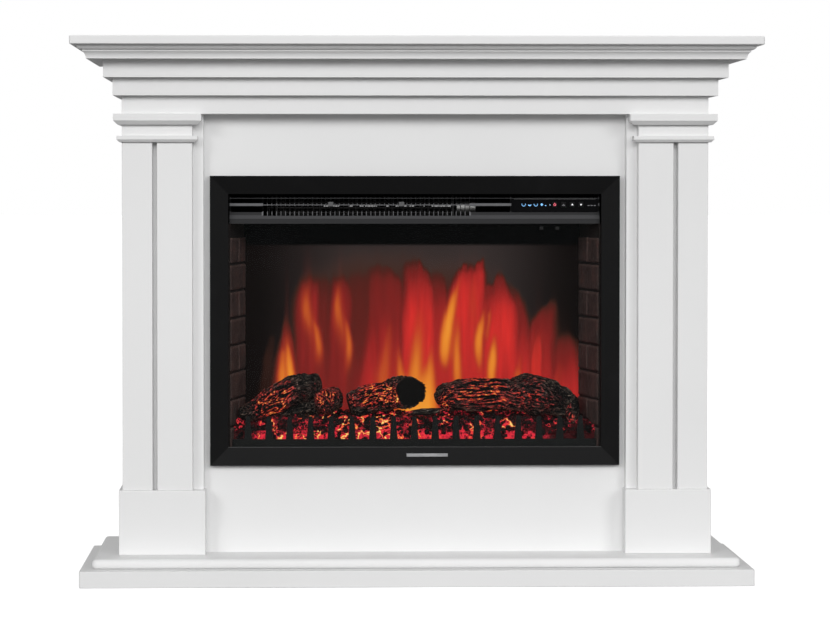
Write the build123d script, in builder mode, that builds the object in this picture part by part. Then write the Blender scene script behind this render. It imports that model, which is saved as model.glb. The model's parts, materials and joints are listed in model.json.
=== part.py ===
from build123d import *
import os
from math import cos, radians, sin

# Electric fireplace: a painted board mantel around a recessed log-effect firebox with a fan heater.
# Millimetres. +Z is up, the front faces -Y, and the origin is the centre of the footprint, on the floor.

# ---- Overall size -------------------------------------------------------------------------------
WIDTH = 1120.0
DEPTH = 312.0
HEIGHT = 890.0
FRONT_Y = -DEPTH / 2
WALL_Y = DEPTH / 2

# ---- Boards -------------------------------------------------------------------------------------
BOARD = 16.0
EASE = 1.2              # eased edge of a painted board
GLUE_LINE = 0.1         # hairline between mitred or butted boards that share a node

# ---- Heights of the mantel's layers, from the floor up -------------------------------------------
BASE_TOP = 27.0
SLAB_TOP = BASE_TOP + BOARD
PLINTH_TOP = 149.0
SHAFT_TOP = 720.0
ASTRAGAL_TOP = 730.0
NECK_TOP = 748.5
CAPITAL_TOP = 766.0
FRIEZE_TOP = 796.0
BED_LOWER_TOP = 825.0
BED_UPPER_TOP = 854.0
CROWN_TOP = 876.0

# ---- Projections beyond the frieze, the same to the front and to the sides ------------------------
ASTRAGAL_OUT = 8.5
BED_LOWER_OUT = 14.0
CAPITAL_OUT = 13.5
BED_UPPER_OUT = 28.5
CROWN_FOOT_OUT = 54.0
CROWN_TOP_OUT = 68.5
SHELF_OUT = 79.0
HALF = WIDTH / 2 - SHELF_OUT
FRIEZE_Y = FRONT_Y + SHELF_OUT
BACKER_Y = FRIEZE_Y + BOARD
PANEL_Y = BACKER_Y + BOARD

# ---- Pilasters ----------------------------------------------------------------------------------
BACKER_IN = HALF - 133.0
INNER_BOARD_IN = BACKER_IN + 18.0
INNER_BOARD_OUT = INNER_BOARD_IN + 58.0
GROOVE = 7.5
PLINTH_OUT = 6.0
PLINTH_IN = 3.0
PLINTH_FRONT = 4.0

# ---- Hearth -------------------------------------------------------------------------------------
BASE_HALF = 546.5
SLAB_HALF = 527.5
SLAB_FRONT_Y = FRONT_Y + 22.0
BULLNOSE = 7.0

# ---- Firebox ------------------------------------------------------------------------------------
CUT_HALF = 322.0
CUT_BOTTOM = 203.0
CUT_TOP = 649.0
TUBE_HALF = 318.0
TUBE_TOP = CUT_TOP - 6.0
TUBE_BACK = 140.0
SHEET = 1.2
FLOOR = CUT_BOTTOM + SHEET
INSIDE = TUBE_HALF - SHEET
TRIM_HALF = 338.0
TRIM_BOTTOM = 187.0
TRIM_TOP = 665.0
TRIM_WIDTH = 30.0
TRIM_PROUD = 12.0
OPENING_HALF = TRIM_HALF - TRIM_WIDTH
OPENING_BOTTOM = TRIM_BOTTOM + TRIM_WIDTH
OPENING_TOP = TRIM_TOP - TRIM_WIDTH
GLASS = (-44.0, -40.0)
HEATER_BOTTOM = 586.0
SCREEN_Y = 60.0
SCREEN_HALF = 284.0
BRICK = 8.0
BRICK_FRONT_HALF = 306.0
BRICK_SPLAY = (BRICK_FRONT_HALF - SCREEN_HALF) / (SCREEN_Y - GLASS[1])
FENDER = (-36.0, -30.0)
BED_FRONT_Y = FENDER[1] + 2.0

# ---- Running parts ------------------------------------------------------------------------------
SHAFT_RADIUS = 2.5
BEARING_RADIUS = SHAFT_RADIUS + 0.05
WHEEL_Y, WHEEL_Z, WHEEL_RADIUS = 22.0, 612.0, 20.0
WHEEL_SPAN = (-230.0, 66.0)
ROTOR_Y, ROTOR_Z, ROTOR_RADIUS = 110.0, 250.0, 21.0
ROTOR_HALF = 250.0

os.makedirs("parts", exist_ok=True)


def block(x, y, z, mode=Mode.ADD):
    """A box between the low and high limits given along each axis."""
    centre = [(low + high) / 2 for low, high in (x, y, z)]
    with Locations(Vector(*centre)):
        Box(x[1] - x[0], y[1] - y[0], z[1] - z[0], mode=mode)


def rod(x, y, z, radius, mode=Mode.ADD):
    """A round bar along X between two limits."""
    with Locations(Location(((x[0] + x[1]) / 2, y, z), (0, 90, 0))):
        Cylinder(radius, x[1] - x[0], mode=mode)


def dowel(x, y, z, radius, mode=Mode.ADD):
    """A round bar along Y between two limits."""
    with Locations(Location((x, (y[0] + y[1]) / 2, z), (90, 0, 0))):
        Cylinder(radius, y[1] - y[0], mode=mode)


def post(x, y, z, radius, mode=Mode.ADD):
    """A round bar along Z between two limits."""
    with Locations(Location((x, y, (z[0] + z[1]) / 2))):
        Cylinder(radius, z[1] - z[0], mode=mode)


def ease_front(builder, radius=EASE):
    """Round the edges around the foremost faces of the piece being built."""
    fillet(builder.faces().group_by(Axis.Y)[0].edges(), radius)


def span(side, near, far):
    """An X range from near to far, measured from the middle towards one side."""
    return (near, far) if side > 0 else (-far, -near)


def save(builder, name):
    """Label a finished piece and write it to its own file."""
    builder.part.label = name
    export_step(builder.part, f"parts/{name}.step")


SIDES = {"left": -1, "right": 1}

# ==== Hearth =====================================================================================
SCREW_X = HALF - BOARD / 2
SCREW_Y = (-10.0, 110.0)
SCREW_RADIUS = 2.5
SCREW_HEAD_RADIUS = 5.0
SCREW_HEAD = (2.0, 6.0)
SCREW_TIP = SLAB_TOP + 37.0
SCREW_PLACES = [(x, y) for x in (-SCREW_X, SCREW_X) for y in SCREW_Y]

with BuildPart() as base_board:
    block((-BASE_HALF, BASE_HALF), (FRONT_Y, WALL_Y), (0, BASE_TOP))
    fillet([e for e in base_board.edges().filter_by(Axis.Z) if e.center().Y < 0], 3)
    ease_front(base_board, 1)
    for x, y in SCREW_PLACES:
        post(x, y, (0, SCREW_HEAD[1]), SCREW_HEAD_RADIUS, Mode.SUBTRACT)
        post(x, y, (0, BASE_TOP), SCREW_RADIUS, Mode.SUBTRACT)
save(base_board, "base_board")

with BuildPart() as hearth_slab:
    block((-SLAB_HALF, SLAB_HALF), (SLAB_FRONT_Y, WALL_Y), (BASE_TOP, SLAB_TOP))
    fillet([e for e in hearth_slab.edges().filter_by(Axis.Z) if e.center().Y < 0], 9)
    rims = hearth_slab.faces().filter_by(Axis.Z).edges()
    fillet([e for e in rims if e.center().Y < WALL_Y - 1], BULLNOSE)
    for x, y in SCREW_PLACES:
        post(x, y, (BASE_TOP, SLAB_TOP), SCREW_RADIUS, Mode.SUBTRACT)
save(hearth_slab, "hearth_slab")

with BuildPart() as base_screws:
    for x, y in SCREW_PLACES:
        post(x, y, SCREW_HEAD, SCREW_HEAD_RADIUS)
        post(x, y, (SCREW_HEAD[1], SCREW_TIP), SCREW_RADIUS)
        with Locations((x, y, SCREW_HEAD[0] + 1)):
            Box(3, 3, 2, mode=Mode.SUBTRACT)
save(base_screws, "base_screws")

# ==== Sides, pilasters and capitals ==============================================================
for hand, side in SIDES.items():
    with BuildPart() as side_panel:
        block(span(side, HALF - BOARD, HALF), (PANEL_Y, WALL_Y), (SLAB_TOP, FRIEZE_TOP))
        for y in SCREW_Y:
            post(side * SCREW_X, y, (SLAB_TOP, SCREW_TIP), SCREW_RADIUS, Mode.SUBTRACT)
    save(side_panel, f"side_panel_{hand}")

    with BuildPart() as pilaster_backer:
        block(span(side, BACKER_IN, HALF), (BACKER_Y, PANEL_Y), (SLAB_TOP, CAPITAL_TOP))
        fillet(pilaster_backer.faces().sort_by(Axis.Y)[0].edges().filter_by(Axis.Z), EASE)
    save(pilaster_backer, f"pilaster_backer_{hand}")

    with BuildPart() as pilaster_boards:
        block(span(side, INNER_BOARD_IN, INNER_BOARD_OUT), (FRIEZE_Y, BACKER_Y), (PLINTH_TOP, SHAFT_TOP))
        block(span(side, INNER_BOARD_OUT + GROOVE, HALF), (FRIEZE_Y, BACKER_Y), (PLINTH_TOP, SHAFT_TOP))
        ease_front(pilaster_boards)
    save(pilaster_boards, f"pilaster_boards_{hand}")

    with BuildPart() as plinth_block:
        front = (FRIEZE_Y - PLINTH_FRONT, BACKER_Y)
        height = (SLAB_TOP, PLINTH_TOP)
        block(span(side, BACKER_IN - PLINTH_IN, HALF + PLINTH_OUT), front, height)
        ease_front(plinth_block, 1.5)
        block(span(side, HALF, HALF + PLINTH_OUT), (BACKER_Y + GLUE_LINE, WALL_Y), height)
        block(span(side, BACKER_IN - PLINTH_IN, BACKER_IN), (BACKER_Y + GLUE_LINE, PANEL_Y), height)
    save(plinth_block, f"plinth_block_{hand}")

    with BuildPart() as necking_block:
        block(span(side, INNER_BOARD_IN, HALF), (FRIEZE_Y, BACKER_Y), (ASTRAGAL_TOP, NECK_TOP))
        ease_front(necking_block, 0.8)
    save(necking_block, f"necking_block_{hand}")

    # Two mouldings cross the pilaster and return along the mantel's side to the wall.
    with BuildPart() as capital_mouldings:
        for out, inner, bottom, top, bevel in (
            (ASTRAGAL_OUT, BACKER_IN + 9.5, SHAFT_TOP, ASTRAGAL_TOP, 4.3),
            (CAPITAL_OUT, BACKER_IN + 3.0, NECK_TOP, CAPITAL_TOP, 6.6),
        ):
            front_y = FRIEZE_Y - out
            outer = HALF + out
            block(span(side, inner, outer), (front_y, BACKER_Y), (bottom, top))
            block(span(side, HALF, outer), (BACKER_Y, WALL_Y), (bottom, top))
            underside = capital_mouldings.edges().filter_by_position(Axis.Z, bottom - 0.1, bottom + 0.1)
            outline = [
                e for e in underside
                if abs(e.center().Y - front_y) < 0.1
                or abs(abs(e.center().X) - outer) < 0.1
                or abs(abs(e.center().X) - inner) < 0.1
            ]
            chamfer(outline, bevel)
        block(
            span(side, HALF, HALF + 20), (BACKER_Y, BACKER_Y + GLUE_LINE), (SHAFT_TOP - 1, CAPITAL_TOP + 1),
            Mode.SUBTRACT,
        )
    save(capital_mouldings, f"capital_mouldings_{hand}")

# ==== Recessed front, frieze and carcass =========================================================
with BuildPart() as front_panel:
    block((BOARD - HALF, HALF - BOARD), (PANEL_Y, PANEL_Y + BOARD), (SLAB_TOP, FRIEZE_TOP - BOARD))
    block((-CUT_HALF, CUT_HALF), (PANEL_Y, PANEL_Y + BOARD), (CUT_BOTTOM, CUT_TOP), Mode.SUBTRACT)
save(front_panel, "front_panel")

with BuildPart() as frieze_board:
    block((-HALF, HALF), (FRIEZE_Y, PANEL_Y), (CAPITAL_TOP, FRIEZE_TOP))
    ease_front(frieze_board, 0.8)
save(frieze_board, "frieze_board")

with BuildPart() as carcass_top:
    block((BOARD - HALF, HALF - BOARD), (PANEL_Y, WALL_Y), (FRIEZE_TOP - BOARD, FRIEZE_TOP))
save(carcass_top, "carcass_top")

with BuildPart() as insert_shelf:
    block((BOARD - HALF, HALF - BOARD), (PANEL_Y + BOARD, TUBE_BACK), (CUT_BOTTOM - BOARD, CUT_BOTTOM))
save(insert_shelf, "insert_shelf")

WALL_HOLE_SPACING = 700.0
WALL_HOLE_RADIUS = 2.5
RAIL_HEIGHT = 80.0
UPPER_RAIL = (FRIEZE_TOP - BOARD - RAIL_HEIGHT, FRIEZE_TOP - BOARD)
WALL_HOLE_Z = UPPER_RAIL[0] + RAIL_HEIGHT / 2
with BuildPart() as rear_rails:
    for z in (UPPER_RAIL, (SLAB_TOP, SLAB_TOP + RAIL_HEIGHT)):
        block((BOARD - HALF, HALF - BOARD), (TUBE_BACK, WALL_Y), z)
    for x in (-WALL_HOLE_SPACING / 2, WALL_HOLE_SPACING / 2):
        dowel(x, (TUBE_BACK, WALL_Y), WALL_HOLE_Z, WALL_HOLE_RADIUS, Mode.SUBTRACT)
save(rear_rails, "rear_rails")

BRACKET_LEG = 30.0
BRACKET_WIDTH = 20.0
BRACKET_SHEET = 2.0
with BuildPart() as corner_brackets:
    inner = HALF - BOARD
    for side in SIDES.values():
        for y in (0.0, 100.0):
            width = (y - BRACKET_WIDTH / 2, y + BRACKET_WIDTH / 2)
            upright = span(side, inner - BRACKET_SHEET, inner)
            leg = span(side, inner - BRACKET_LEG, inner)
            ceiling = FRIEZE_TOP - BOARD
            block(leg, width, (SLAB_TOP, SLAB_TOP + BRACKET_SHEET))
            block(upright, width, (SLAB_TOP, SLAB_TOP + BRACKET_LEG))
            block(leg, width, (ceiling - BRACKET_SHEET, ceiling))
            block(upright, width, (ceiling - BRACKET_LEG, ceiling))
save(corner_brackets, "corner_brackets")


# ==== Cornice ====================================================================================
def cut_mitres(bottom, top):
    """Part a three-sided moulding into its front board and two returns at the 45 degree corners."""
    reach = 60.0
    for side in SIDES.values():
        corner = (side * (HALF + reach / 2), FRIEZE_Y - reach / 2, (bottom + top) / 2)
        with Locations(Location(corner, (0, 0, -45 * side))):
            Box(4 * reach, GLUE_LINE, top - bottom + 2, mode=Mode.SUBTRACT)


def bed_moulding(out, thickness, bottom, top):
    """A square-edged board along the front and both sides, mitred at the corners."""
    outer, inner = HALF + out, HALF + out - thickness
    front_y = FRIEZE_Y - out
    block((-outer, outer), (front_y, WALL_Y), (bottom, top))
    block((-inner, inner), (front_y + thickness, WALL_Y), (bottom, top), Mode.SUBTRACT)
    cut_mitres(bottom, top)


with BuildPart() as bed_moulding_lower:
    bed_moulding(BED_LOWER_OUT, 24, FRIEZE_TOP, BED_LOWER_TOP)
save(bed_moulding_lower, "bed_moulding_lower")

with BuildPart() as bed_moulding_upper:
    bed_moulding(BED_UPPER_OUT, 24, BED_LOWER_TOP, BED_UPPER_TOP)
save(bed_moulding_upper, "bed_moulding_upper")

# The crown's section rises from a concave cove through a small quirk to a convex ovolo.
OVOLO_RADIUS = 8.0
QUIRK = 0.5
CROWN_SEAT = 38.0
CROWN_RISE = CROWN_TOP - BED_UPPER_TOP
COVE_OUT = CROWN_TOP_OUT - CROWN_FOOT_OUT - OVOLO_RADIUS - QUIRK
COVE_SWEEP = 55.0
COVE_RADIUS = COVE_OUT / (1 - cos(radians(COVE_SWEEP)))
crown_half = HALF + CROWN_FOOT_OUT
crown_y = FRIEZE_Y - CROWN_FOOT_OUT
with BuildPart() as crown_moulding:
    with BuildLine() as crown_run:
        Polyline(
            (-crown_half, WALL_Y, BED_UPPER_TOP), (-crown_half, crown_y, BED_UPPER_TOP),
            (crown_half, crown_y, BED_UPPER_TOP), (crown_half, WALL_Y, BED_UPPER_TOP),
        )
    foot = Plane(origin=(-crown_half, WALL_Y, BED_UPPER_TOP), x_dir=(1, 0, 0), z_dir=(0, -1, 0))
    with BuildSketch(foot) as crown_section:
        with BuildLine():
            cove = JernArc((0, 0), (0, 1), COVE_RADIUS, COVE_SWEEP)
            ovolo = CenterArc((-COVE_OUT - QUIRK, CROWN_RISE), OVOLO_RADIUS, 180, 90)
            Polyline(cove @ 1, (-COVE_OUT, CROWN_RISE - OVOLO_RADIUS), ovolo @ 1)
            Polyline(ovolo @ 0, (CROWN_SEAT, CROWN_RISE), (CROWN_SEAT, 0), (0, 0))
        make_face()
    sweep(path=crown_run.line, transition=Transition.RIGHT)
    cut_mitres(BED_UPPER_TOP, CROWN_TOP)
save(crown_moulding, "crown_moulding")

with BuildPart() as mantel_shelf:
    block((-WIDTH / 2, WIDTH / 2), (FRONT_Y, WALL_Y), (CROWN_TOP, HEIGHT))
    fillet([e for e in mantel_shelf.edges().filter_by(Axis.Z) if e.center().Y < 0], 3)
    rims = mantel_shelf.faces().filter_by(Axis.Z).edges()
    fillet([e for e in rims if e.center().Y < WALL_Y - 1], 2)
save(mantel_shelf, "mantel_shelf")

# ==== Firebox trim: four folded channel rails, mitred =============================================
TRIM_SHEET = 1.5
TRIM_INNER_PROUD = 8.0
with BuildPart() as trim_ring:
    with BuildLine() as trim_run:
        Polyline(
            (0, PANEL_Y, TRIM_BOTTOM), (TRIM_HALF, PANEL_Y, TRIM_BOTTOM), (TRIM_HALF, PANEL_Y, TRIM_TOP),
            (-TRIM_HALF, PANEL_Y, TRIM_TOP), (-TRIM_HALF, PANEL_Y, TRIM_BOTTOM), (0, PANEL_Y, TRIM_BOTTOM),
        )
    # Local x runs inwards from the outer edge, and local y runs out of the wall of the panel.
    with BuildSketch(Plane(origin=(0, PANEL_Y, TRIM_BOTTOM), x_dir=(0, 0, 1), z_dir=(1, 0, 0))) as channel:
        lip = PANEL_Y - GLASS[0]
        with BuildLine():
            Polyline(
                (0, 0), (0, TRIM_PROUD), (TRIM_WIDTH, TRIM_INNER_PROUD), (TRIM_WIDTH, lip),
                (TRIM_WIDTH - TRIM_SHEET, lip), (TRIM_WIDTH - TRIM_SHEET, TRIM_INNER_PROUD - TRIM_SHEET),
                (TRIM_SHEET, TRIM_PROUD - TRIM_SHEET), (TRIM_SHEET, 0), close=True,
            )
        make_face()
    sweep(path=trim_run.line, transition=Transition.RIGHT)

MITRE_MARGIN = 5.0
for name, corners in {
    "bottom": ((-1, -1), (1, -1)),
    "top": ((-1, 1), (1, 1)),
    "left": ((-1, -1), (-1, 1)),
    "right": ((1, -1), (1, 1)),
}.items():
    middle_z = (TRIM_TOP + TRIM_BOTTOM) / 2
    outer = (TRIM_HALF + MITRE_MARGIN, (TRIM_TOP - TRIM_BOTTOM) / 2 + MITRE_MARGIN)
    inner = (OPENING_HALF - MITRE_MARGIN, (OPENING_TOP - OPENING_BOTTOM) / 2 - MITRE_MARGIN)
    (ax, az), (bx, bz) = corners
    with BuildPart() as trim_rail:
        add(trim_ring.part)
        with BuildSketch(Plane.XZ.offset(-PANEL_Y - 20)):
            Polygon(
                (ax * outer[0], middle_z + az * outer[1]), (bx * outer[0], middle_z + bz * outer[1]),
                (bx * inner[0], middle_z + bz * inner[1]), (ax * inner[0], middle_z + az * inner[1]),
                align=None,
            )
        extrude(amount=40, mode=Mode.INTERSECT)
    save(trim_rail, f"trim_rail_{name}")

# ==== Firebox shell ==============================================================================
REAR_FLANGE = 15.0
REAR_SCREWS = [(x, z) for x in (-310.0, 0.0, 310.0) for z in (CUT_BOTTOM + 8, TUBE_TOP - 8)]
REAR_SCREWS += [(x, (CUT_BOTTOM + TUBE_TOP) / 2) for x in (-310.0, 310.0)]
REAR_SCREW_RADIUS = 2.0
GLAND_X, GLAND_Z = -288.0, 236.0
GLAND_RADIUS = 7.9
COVER_BACK = TUBE_BACK + SHEET

with BuildPart() as firebox_wrapper:
    block((-TUBE_HALF, TUBE_HALF), (PANEL_Y, TUBE_BACK), (CUT_BOTTOM, TUBE_TOP))
    block((-INSIDE, INSIDE), (PANEL_Y, TUBE_BACK - SHEET), (FLOOR, TUBE_TOP - SHEET), Mode.SUBTRACT)
    mouth_x = (REAR_FLANGE - INSIDE, INSIDE - REAR_FLANGE)
    mouth_z = (FLOOR + REAR_FLANGE, TUBE_TOP - SHEET - REAR_FLANGE)
    block(mouth_x, (TUBE_BACK - SHEET, TUBE_BACK), mouth_z, Mode.SUBTRACT)
    for x, z in REAR_SCREWS:
        dowel(x, (TUBE_BACK - SHEET, TUBE_BACK), z, REAR_SCREW_RADIUS, Mode.SUBTRACT)
save(firebox_wrapper, "firebox_wrapper")

VENT_LENGTH, VENT_HEIGHT, VENT_RISE = 50.0, 4.0, 9.0
with BuildPart() as rear_cover:
    block((-TUBE_HALF, TUBE_HALF), (TUBE_BACK, COVER_BACK), (CUT_BOTTOM, TUBE_TOP))
    for middle, rows in (((0, 600.0), 4), ((120.0, 300.0), 3)):
        with BuildSketch(Plane.XZ.offset(-COVER_BACK - 1)):
            with Locations(middle):
                with GridLocations(VENT_LENGTH + 12, VENT_RISE, 5, rows):
                    SlotOverall(VENT_LENGTH, VENT_HEIGHT)
        extrude(amount=4, mode=Mode.SUBTRACT)
    for x, z in REAR_SCREWS:
        dowel(x, (TUBE_BACK, COVER_BACK), z, REAR_SCREW_RADIUS, Mode.SUBTRACT)
    dowel(GLAND_X, (TUBE_BACK, COVER_BACK), GLAND_Z, GLAND_RADIUS, Mode.SUBTRACT)
save(rear_cover, "rear_cover")

with BuildPart() as rear_cover_screws:
    for x, z in REAR_SCREWS:
        dowel(x, (TUBE_BACK - 5, COVER_BACK), z, REAR_SCREW_RADIUS)
        dowel(x, (COVER_BACK, COVER_BACK + 2.2), z, 3.6)
        block((x - 2.2, x + 2.2), (COVER_BACK + 1.2, COVER_BACK + 2.2), (z - 0.4, z + 0.4), Mode.SUBTRACT)
        block((x - 0.4, x + 0.4), (COVER_BACK + 1.2, COVER_BACK + 2.2), (z - 2.2, z + 2.2), Mode.SUBTRACT)
save(rear_cover_screws, "rear_cover_screws")

GLAND_BORE = 4.0
GLAND_SPAN = (TUBE_BACK - 10, WALL_Y - 3)
with BuildPart() as cable_gland:
    dowel(GLAND_X, (GLAND_SPAN[0], COVER_BACK), GLAND_Z, GLAND_RADIUS)
    with BuildSketch(Plane.XZ.offset(-TUBE_BACK)):
        with Locations((GLAND_X, GLAND_Z)):
            RegularPolygon(11.5, 6)
    extrude(amount=5)
    dowel(GLAND_X, (COVER_BACK, COVER_BACK + 4), GLAND_Z, 11)
    dowel(GLAND_X, (COVER_BACK + 4, GLAND_SPAN[1]), GLAND_Z, 9)
    fillet(cable_gland.faces().sort_by(Axis.Y)[-1].edges(), 3)
    dowel(GLAND_X, GLAND_SPAN, GLAND_Z, GLAND_BORE, Mode.SUBTRACT)
save(cable_gland, "cable_gland")

with BuildPart() as front_glass:
    block((-314, 314), GLASS, (FLOOR + 4, HEATER_BOTTOM))
save(front_glass, "front_glass")

# ==== Fire chamber ===============================================================================
for hand, side in SIDES.items():
    with BuildPart() as brick_panel:
        with BuildSketch(Plane.XY.offset(FLOOR)):
            Polygon(
                (side * BRICK_FRONT_HALF, GLASS[1]), (side * (BRICK_FRONT_HALF + BRICK), GLASS[1]),
                (side * (SCREEN_HALF + BRICK), SCREEN_Y), (side * SCREEN_HALF, SCREEN_Y), align=None,
            )
        extrude(amount=HEATER_BOTTOM - FLOOR)
    save(brick_panel, f"brick_panel_{hand}")

SCREEN_BACK = SCREEN_Y + 3.0
with BuildPart() as flame_screen:
    block((-SCREEN_HALF - BRICK, SCREEN_HALF + BRICK), (SCREEN_Y, SCREEN_BACK), (FLOOR, HEATER_BOTTOM))
save(flame_screen, "flame_screen")

# A black sheet with tongue-shaped slots throws the flickering light on the screen's back.
MASK_Y = (84.0, 85.2)
MASK_TOP = 430.0
TONGUES = 13
with BuildPart() as flame_mask:
    block((-SCREEN_HALF - BRICK, SCREEN_HALF + BRICK), MASK_Y, (FLOOR, MASK_TOP))
    with BuildSketch(Plane.XZ.offset(-MASK_Y[1] - 1)):
        for i in range(TONGUES):
            lean = 6 * sin(2.1 * i)
            tall = 120 + 42 * cos(1.7 * i)
            with Locations(Location(((i - TONGUES // 2) * 40 + lean, 300), (0, 0, lean))):
                Ellipse(10, tall / 2)
    extrude(amount=4, mode=Mode.SUBTRACT)
save(flame_mask, "flame_mask")

BED_TOPS = ((BED_FRONT_Y, 242.0), (0.0, 262.0), (SCREEN_Y - 0.5, 270.0))
with BuildPart() as ember_bed:
    with BuildSketch(Plane.YZ.offset(-BRICK_FRONT_HALF)):
        Polygon((BED_FRONT_Y, FLOOR), (SCREEN_Y - 0.5, FLOOR), *reversed(BED_TOPS), align=None)
    extrude(amount=2 * BRICK_FRONT_HALF)
    for side in SIDES.values():
        wide = BRICK_FRONT_HALF - BRICK_SPLAY * (BED_FRONT_Y - GLASS[1]) - 0.5
        narrow = SCREEN_HALF - 0.5
        with BuildSketch(Plane.XY.offset(FLOOR - 1)):
            Polygon(
                (side * wide, BED_FRONT_Y), (side * (wide + 30), BED_FRONT_Y),
                (side * (wide + 30), SCREEN_Y), (side * narrow, SCREEN_Y), align=None,
            )
        extrude(amount=80, mode=Mode.SUBTRACT)
    block((-260, 260), (BED_FRONT_Y + 4, SCREEN_Y - 6), (FLOOR, 234), Mode.SUBTRACT)
save(ember_bed, "ember_bed")

with BuildPart() as ember_led_board:
    block((-230, 230), (-14, 40), (FLOOR + 4, FLOOR + 5.6))
    for x in (-220, 0, 220):
        for y in (-8, 34):
            post(x, y, (FLOOR, FLOOR + 4), 3)
    with Locations((0, 12.5, FLOOR + 6.5)):
        with GridLocations(38, 0, 12, 1):
            Box(5, 5, 1.8)
save(ember_led_board, "ember_led_board")

# Logs: each lies along its own line, and its underside takes the shape of the ember bed.
LOGS = {
    "log_left": ((-284, -8, 262), (-170, 22, 310), 22),
    "log_stub": ((-138, -14, 288), (-138, 32, 291), 21),
    "log_centre": ((-103, 14, 286), (14, -6, 306), 23),
    "log_right": ((52, 8, 297), (262, 12, 290), 25),
}
for name, (start, end, radius) in LOGS.items():
    direction = Vector(*end) - Vector(*start)
    with BuildPart() as log:
        with BuildSketch(Plane(origin=start, z_dir=direction)):
            Circle(radius)
        extrude(amount=direction.length)
        fillet(log.faces().filter_by(GeomType.PLANE).edges(), 6)
        block((-320, 320), (BED_FRONT_Y - 20, SCREEN_Y + 20), (150, 262), Mode.SUBTRACT)
        add(ember_bed.part, mode=Mode.SUBTRACT)
    save(log, name)

TEETH = 17
TOOTH_PITCH = 34.5
TOOTH_FOOT = 13.5
TOOTH_TAPER = 85.0
TOOTH_TOP = 266.5
TOOTH_SUNK = 2.0
BAR_TOP = 228.5
FENDER_HALF = 302.0
with BuildPart() as fender:
    block((-FENDER_HALF, FENDER_HALF), FENDER, (FLOOR, BAR_TOP))
    with BuildSketch(Plane.XZ.offset(-FENDER[1])) as fender_teeth:
        with Locations((0, (BAR_TOP - TOOTH_SUNK + TOOTH_TOP) / 2)):
            with GridLocations(TOOTH_PITCH, 0, TEETH, 1):
                Trapezoid(TOOTH_FOOT, TOOTH_TOP - BAR_TOP + TOOTH_SUNK, TOOTH_TAPER)
        fillet(fender_teeth.vertices().group_by(Axis.Z)[-1], 2.4)
    extrude(amount=FENDER[1] - FENDER[0])
save(fender, "fender")

# ==== Flame drive ================================================================================
LED_BOARD = (136.0, 137.6)
with BuildPart() as flame_led_board:
    block((-240, 240), LED_BOARD, (ROTOR_Z - 14, ROTOR_Z + 14))
    for x in (-220, 220):
        dowel(x, (LED_BOARD[1], TUBE_BACK), ROTOR_Z, 4)
    with Locations((0, LED_BOARD[0] - 0.8, ROTOR_Z)):
        with GridLocations(32, 0, 14, 1):
            Box(6, 1.6, 6)
save(flame_led_board, "flame_led_board")

PETAL_PITCH = 18.0
PETALS = 26
with BuildPart() as flame_rotor:
    rod((-ROTOR_HALF - 12, ROTOR_HALF + 12), ROTOR_Y, ROTOR_Z, SHAFT_RADIUS)
    along = [(i - (PETALS - 1) / 2) * PETAL_PITCH for i in range(PETALS)]
    with Locations([Location((x, ROTOR_Y, ROTOR_Z), (45.0 * i, 0, 0)) for i, x in enumerate(along)]):
        Box(PETAL_PITCH - 4, 1.2, 2 * ROTOR_RADIUS)
save(flame_rotor, "flame_rotor")

MOTOR_FACE = ROTOR_HALF + 6
with BuildPart() as rotor_motor:
    rod((MOTOR_FACE, MOTOR_FACE + 20), ROTOR_Y, ROTOR_Z, 18)
    fillet(rotor_motor.edges(), 1)
    rod((MOTOR_FACE, ROTOR_HALF + 13), ROTOR_Y, ROTOR_Z, BEARING_RADIUS, Mode.SUBTRACT)
save(rotor_motor, "rotor_motor")

with BuildPart() as rotor_brackets:
    block((-ROTOR_HALF - 8, -ROTOR_HALF - 6), (90, 130), (FLOOR, ROTOR_Z + 12))
    block((-ROTOR_HALF - 28, -ROTOR_HALF - 6), (90, 130), (FLOOR, FLOOR + 2))
    rod((-ROTOR_HALF - 11, -ROTOR_HALF - 3), ROTOR_Y, ROTOR_Z, 6)
    rod((-ROTOR_HALF - 11, -ROTOR_HALF - 3), ROTOR_Y, ROTOR_Z, BEARING_RADIUS, Mode.SUBTRACT)
    block((MOTOR_FACE + 20, MOTOR_FACE + 22), (90, 130), (FLOOR, ROTOR_Z + 16))
    block((MOTOR_FACE + 20, MOTOR_FACE + 36), (90, 130), (FLOOR, FLOOR + 2))
save(rotor_brackets, "rotor_brackets")

# ==== Heater =====================================================================================
HOUSING = (-36.0, 118.0)
HOUSING_TOP = TUBE_TOP - SHEET
DECK = HEATER_BOTTOM + SHEET
CHEEKS = (-241.2, 70.0)
with BuildPart() as heater_housing:
    block((-INSIDE, INSIDE), HOUSING, (HEATER_BOTTOM, HOUSING_TOP))
    hollow_x = (SHEET - INSIDE, INSIDE - SHEET)
    block(hollow_x, (HOUSING[0], HOUSING[1] - SHEET), (DECK, HOUSING_TOP), Mode.SUBTRACT)
    with BuildSketch(Plane.XZ.offset(-HOUSING[1] - 1)):
        with Locations((WHEEL_SPAN[0] / 2 + WHEEL_SPAN[1] / 2, 612)):
            with GridLocations(64, 12, 5, 3):
                SlotOverall(50, 5)
    extrude(amount=4, mode=Mode.SUBTRACT)
    for x in CHEEKS:
        block((x, x + SHEET), (-2, 46), (DECK, HOUSING_TOP))
    rod((CHEEKS[0] - 3, CHEEKS[0] + SHEET + 2), WHEEL_Y, WHEEL_Z, 6)
    rod((CHEEKS[0] - 3, CHEEKS[0] + SHEET + 2), WHEEL_Y, WHEEL_Z, BEARING_RADIUS, Mode.SUBTRACT)
    rod((CHEEKS[1], CHEEKS[1] + SHEET), WHEEL_Y, WHEEL_Z, 5, Mode.SUBTRACT)
save(heater_housing, "heater_housing")

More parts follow.
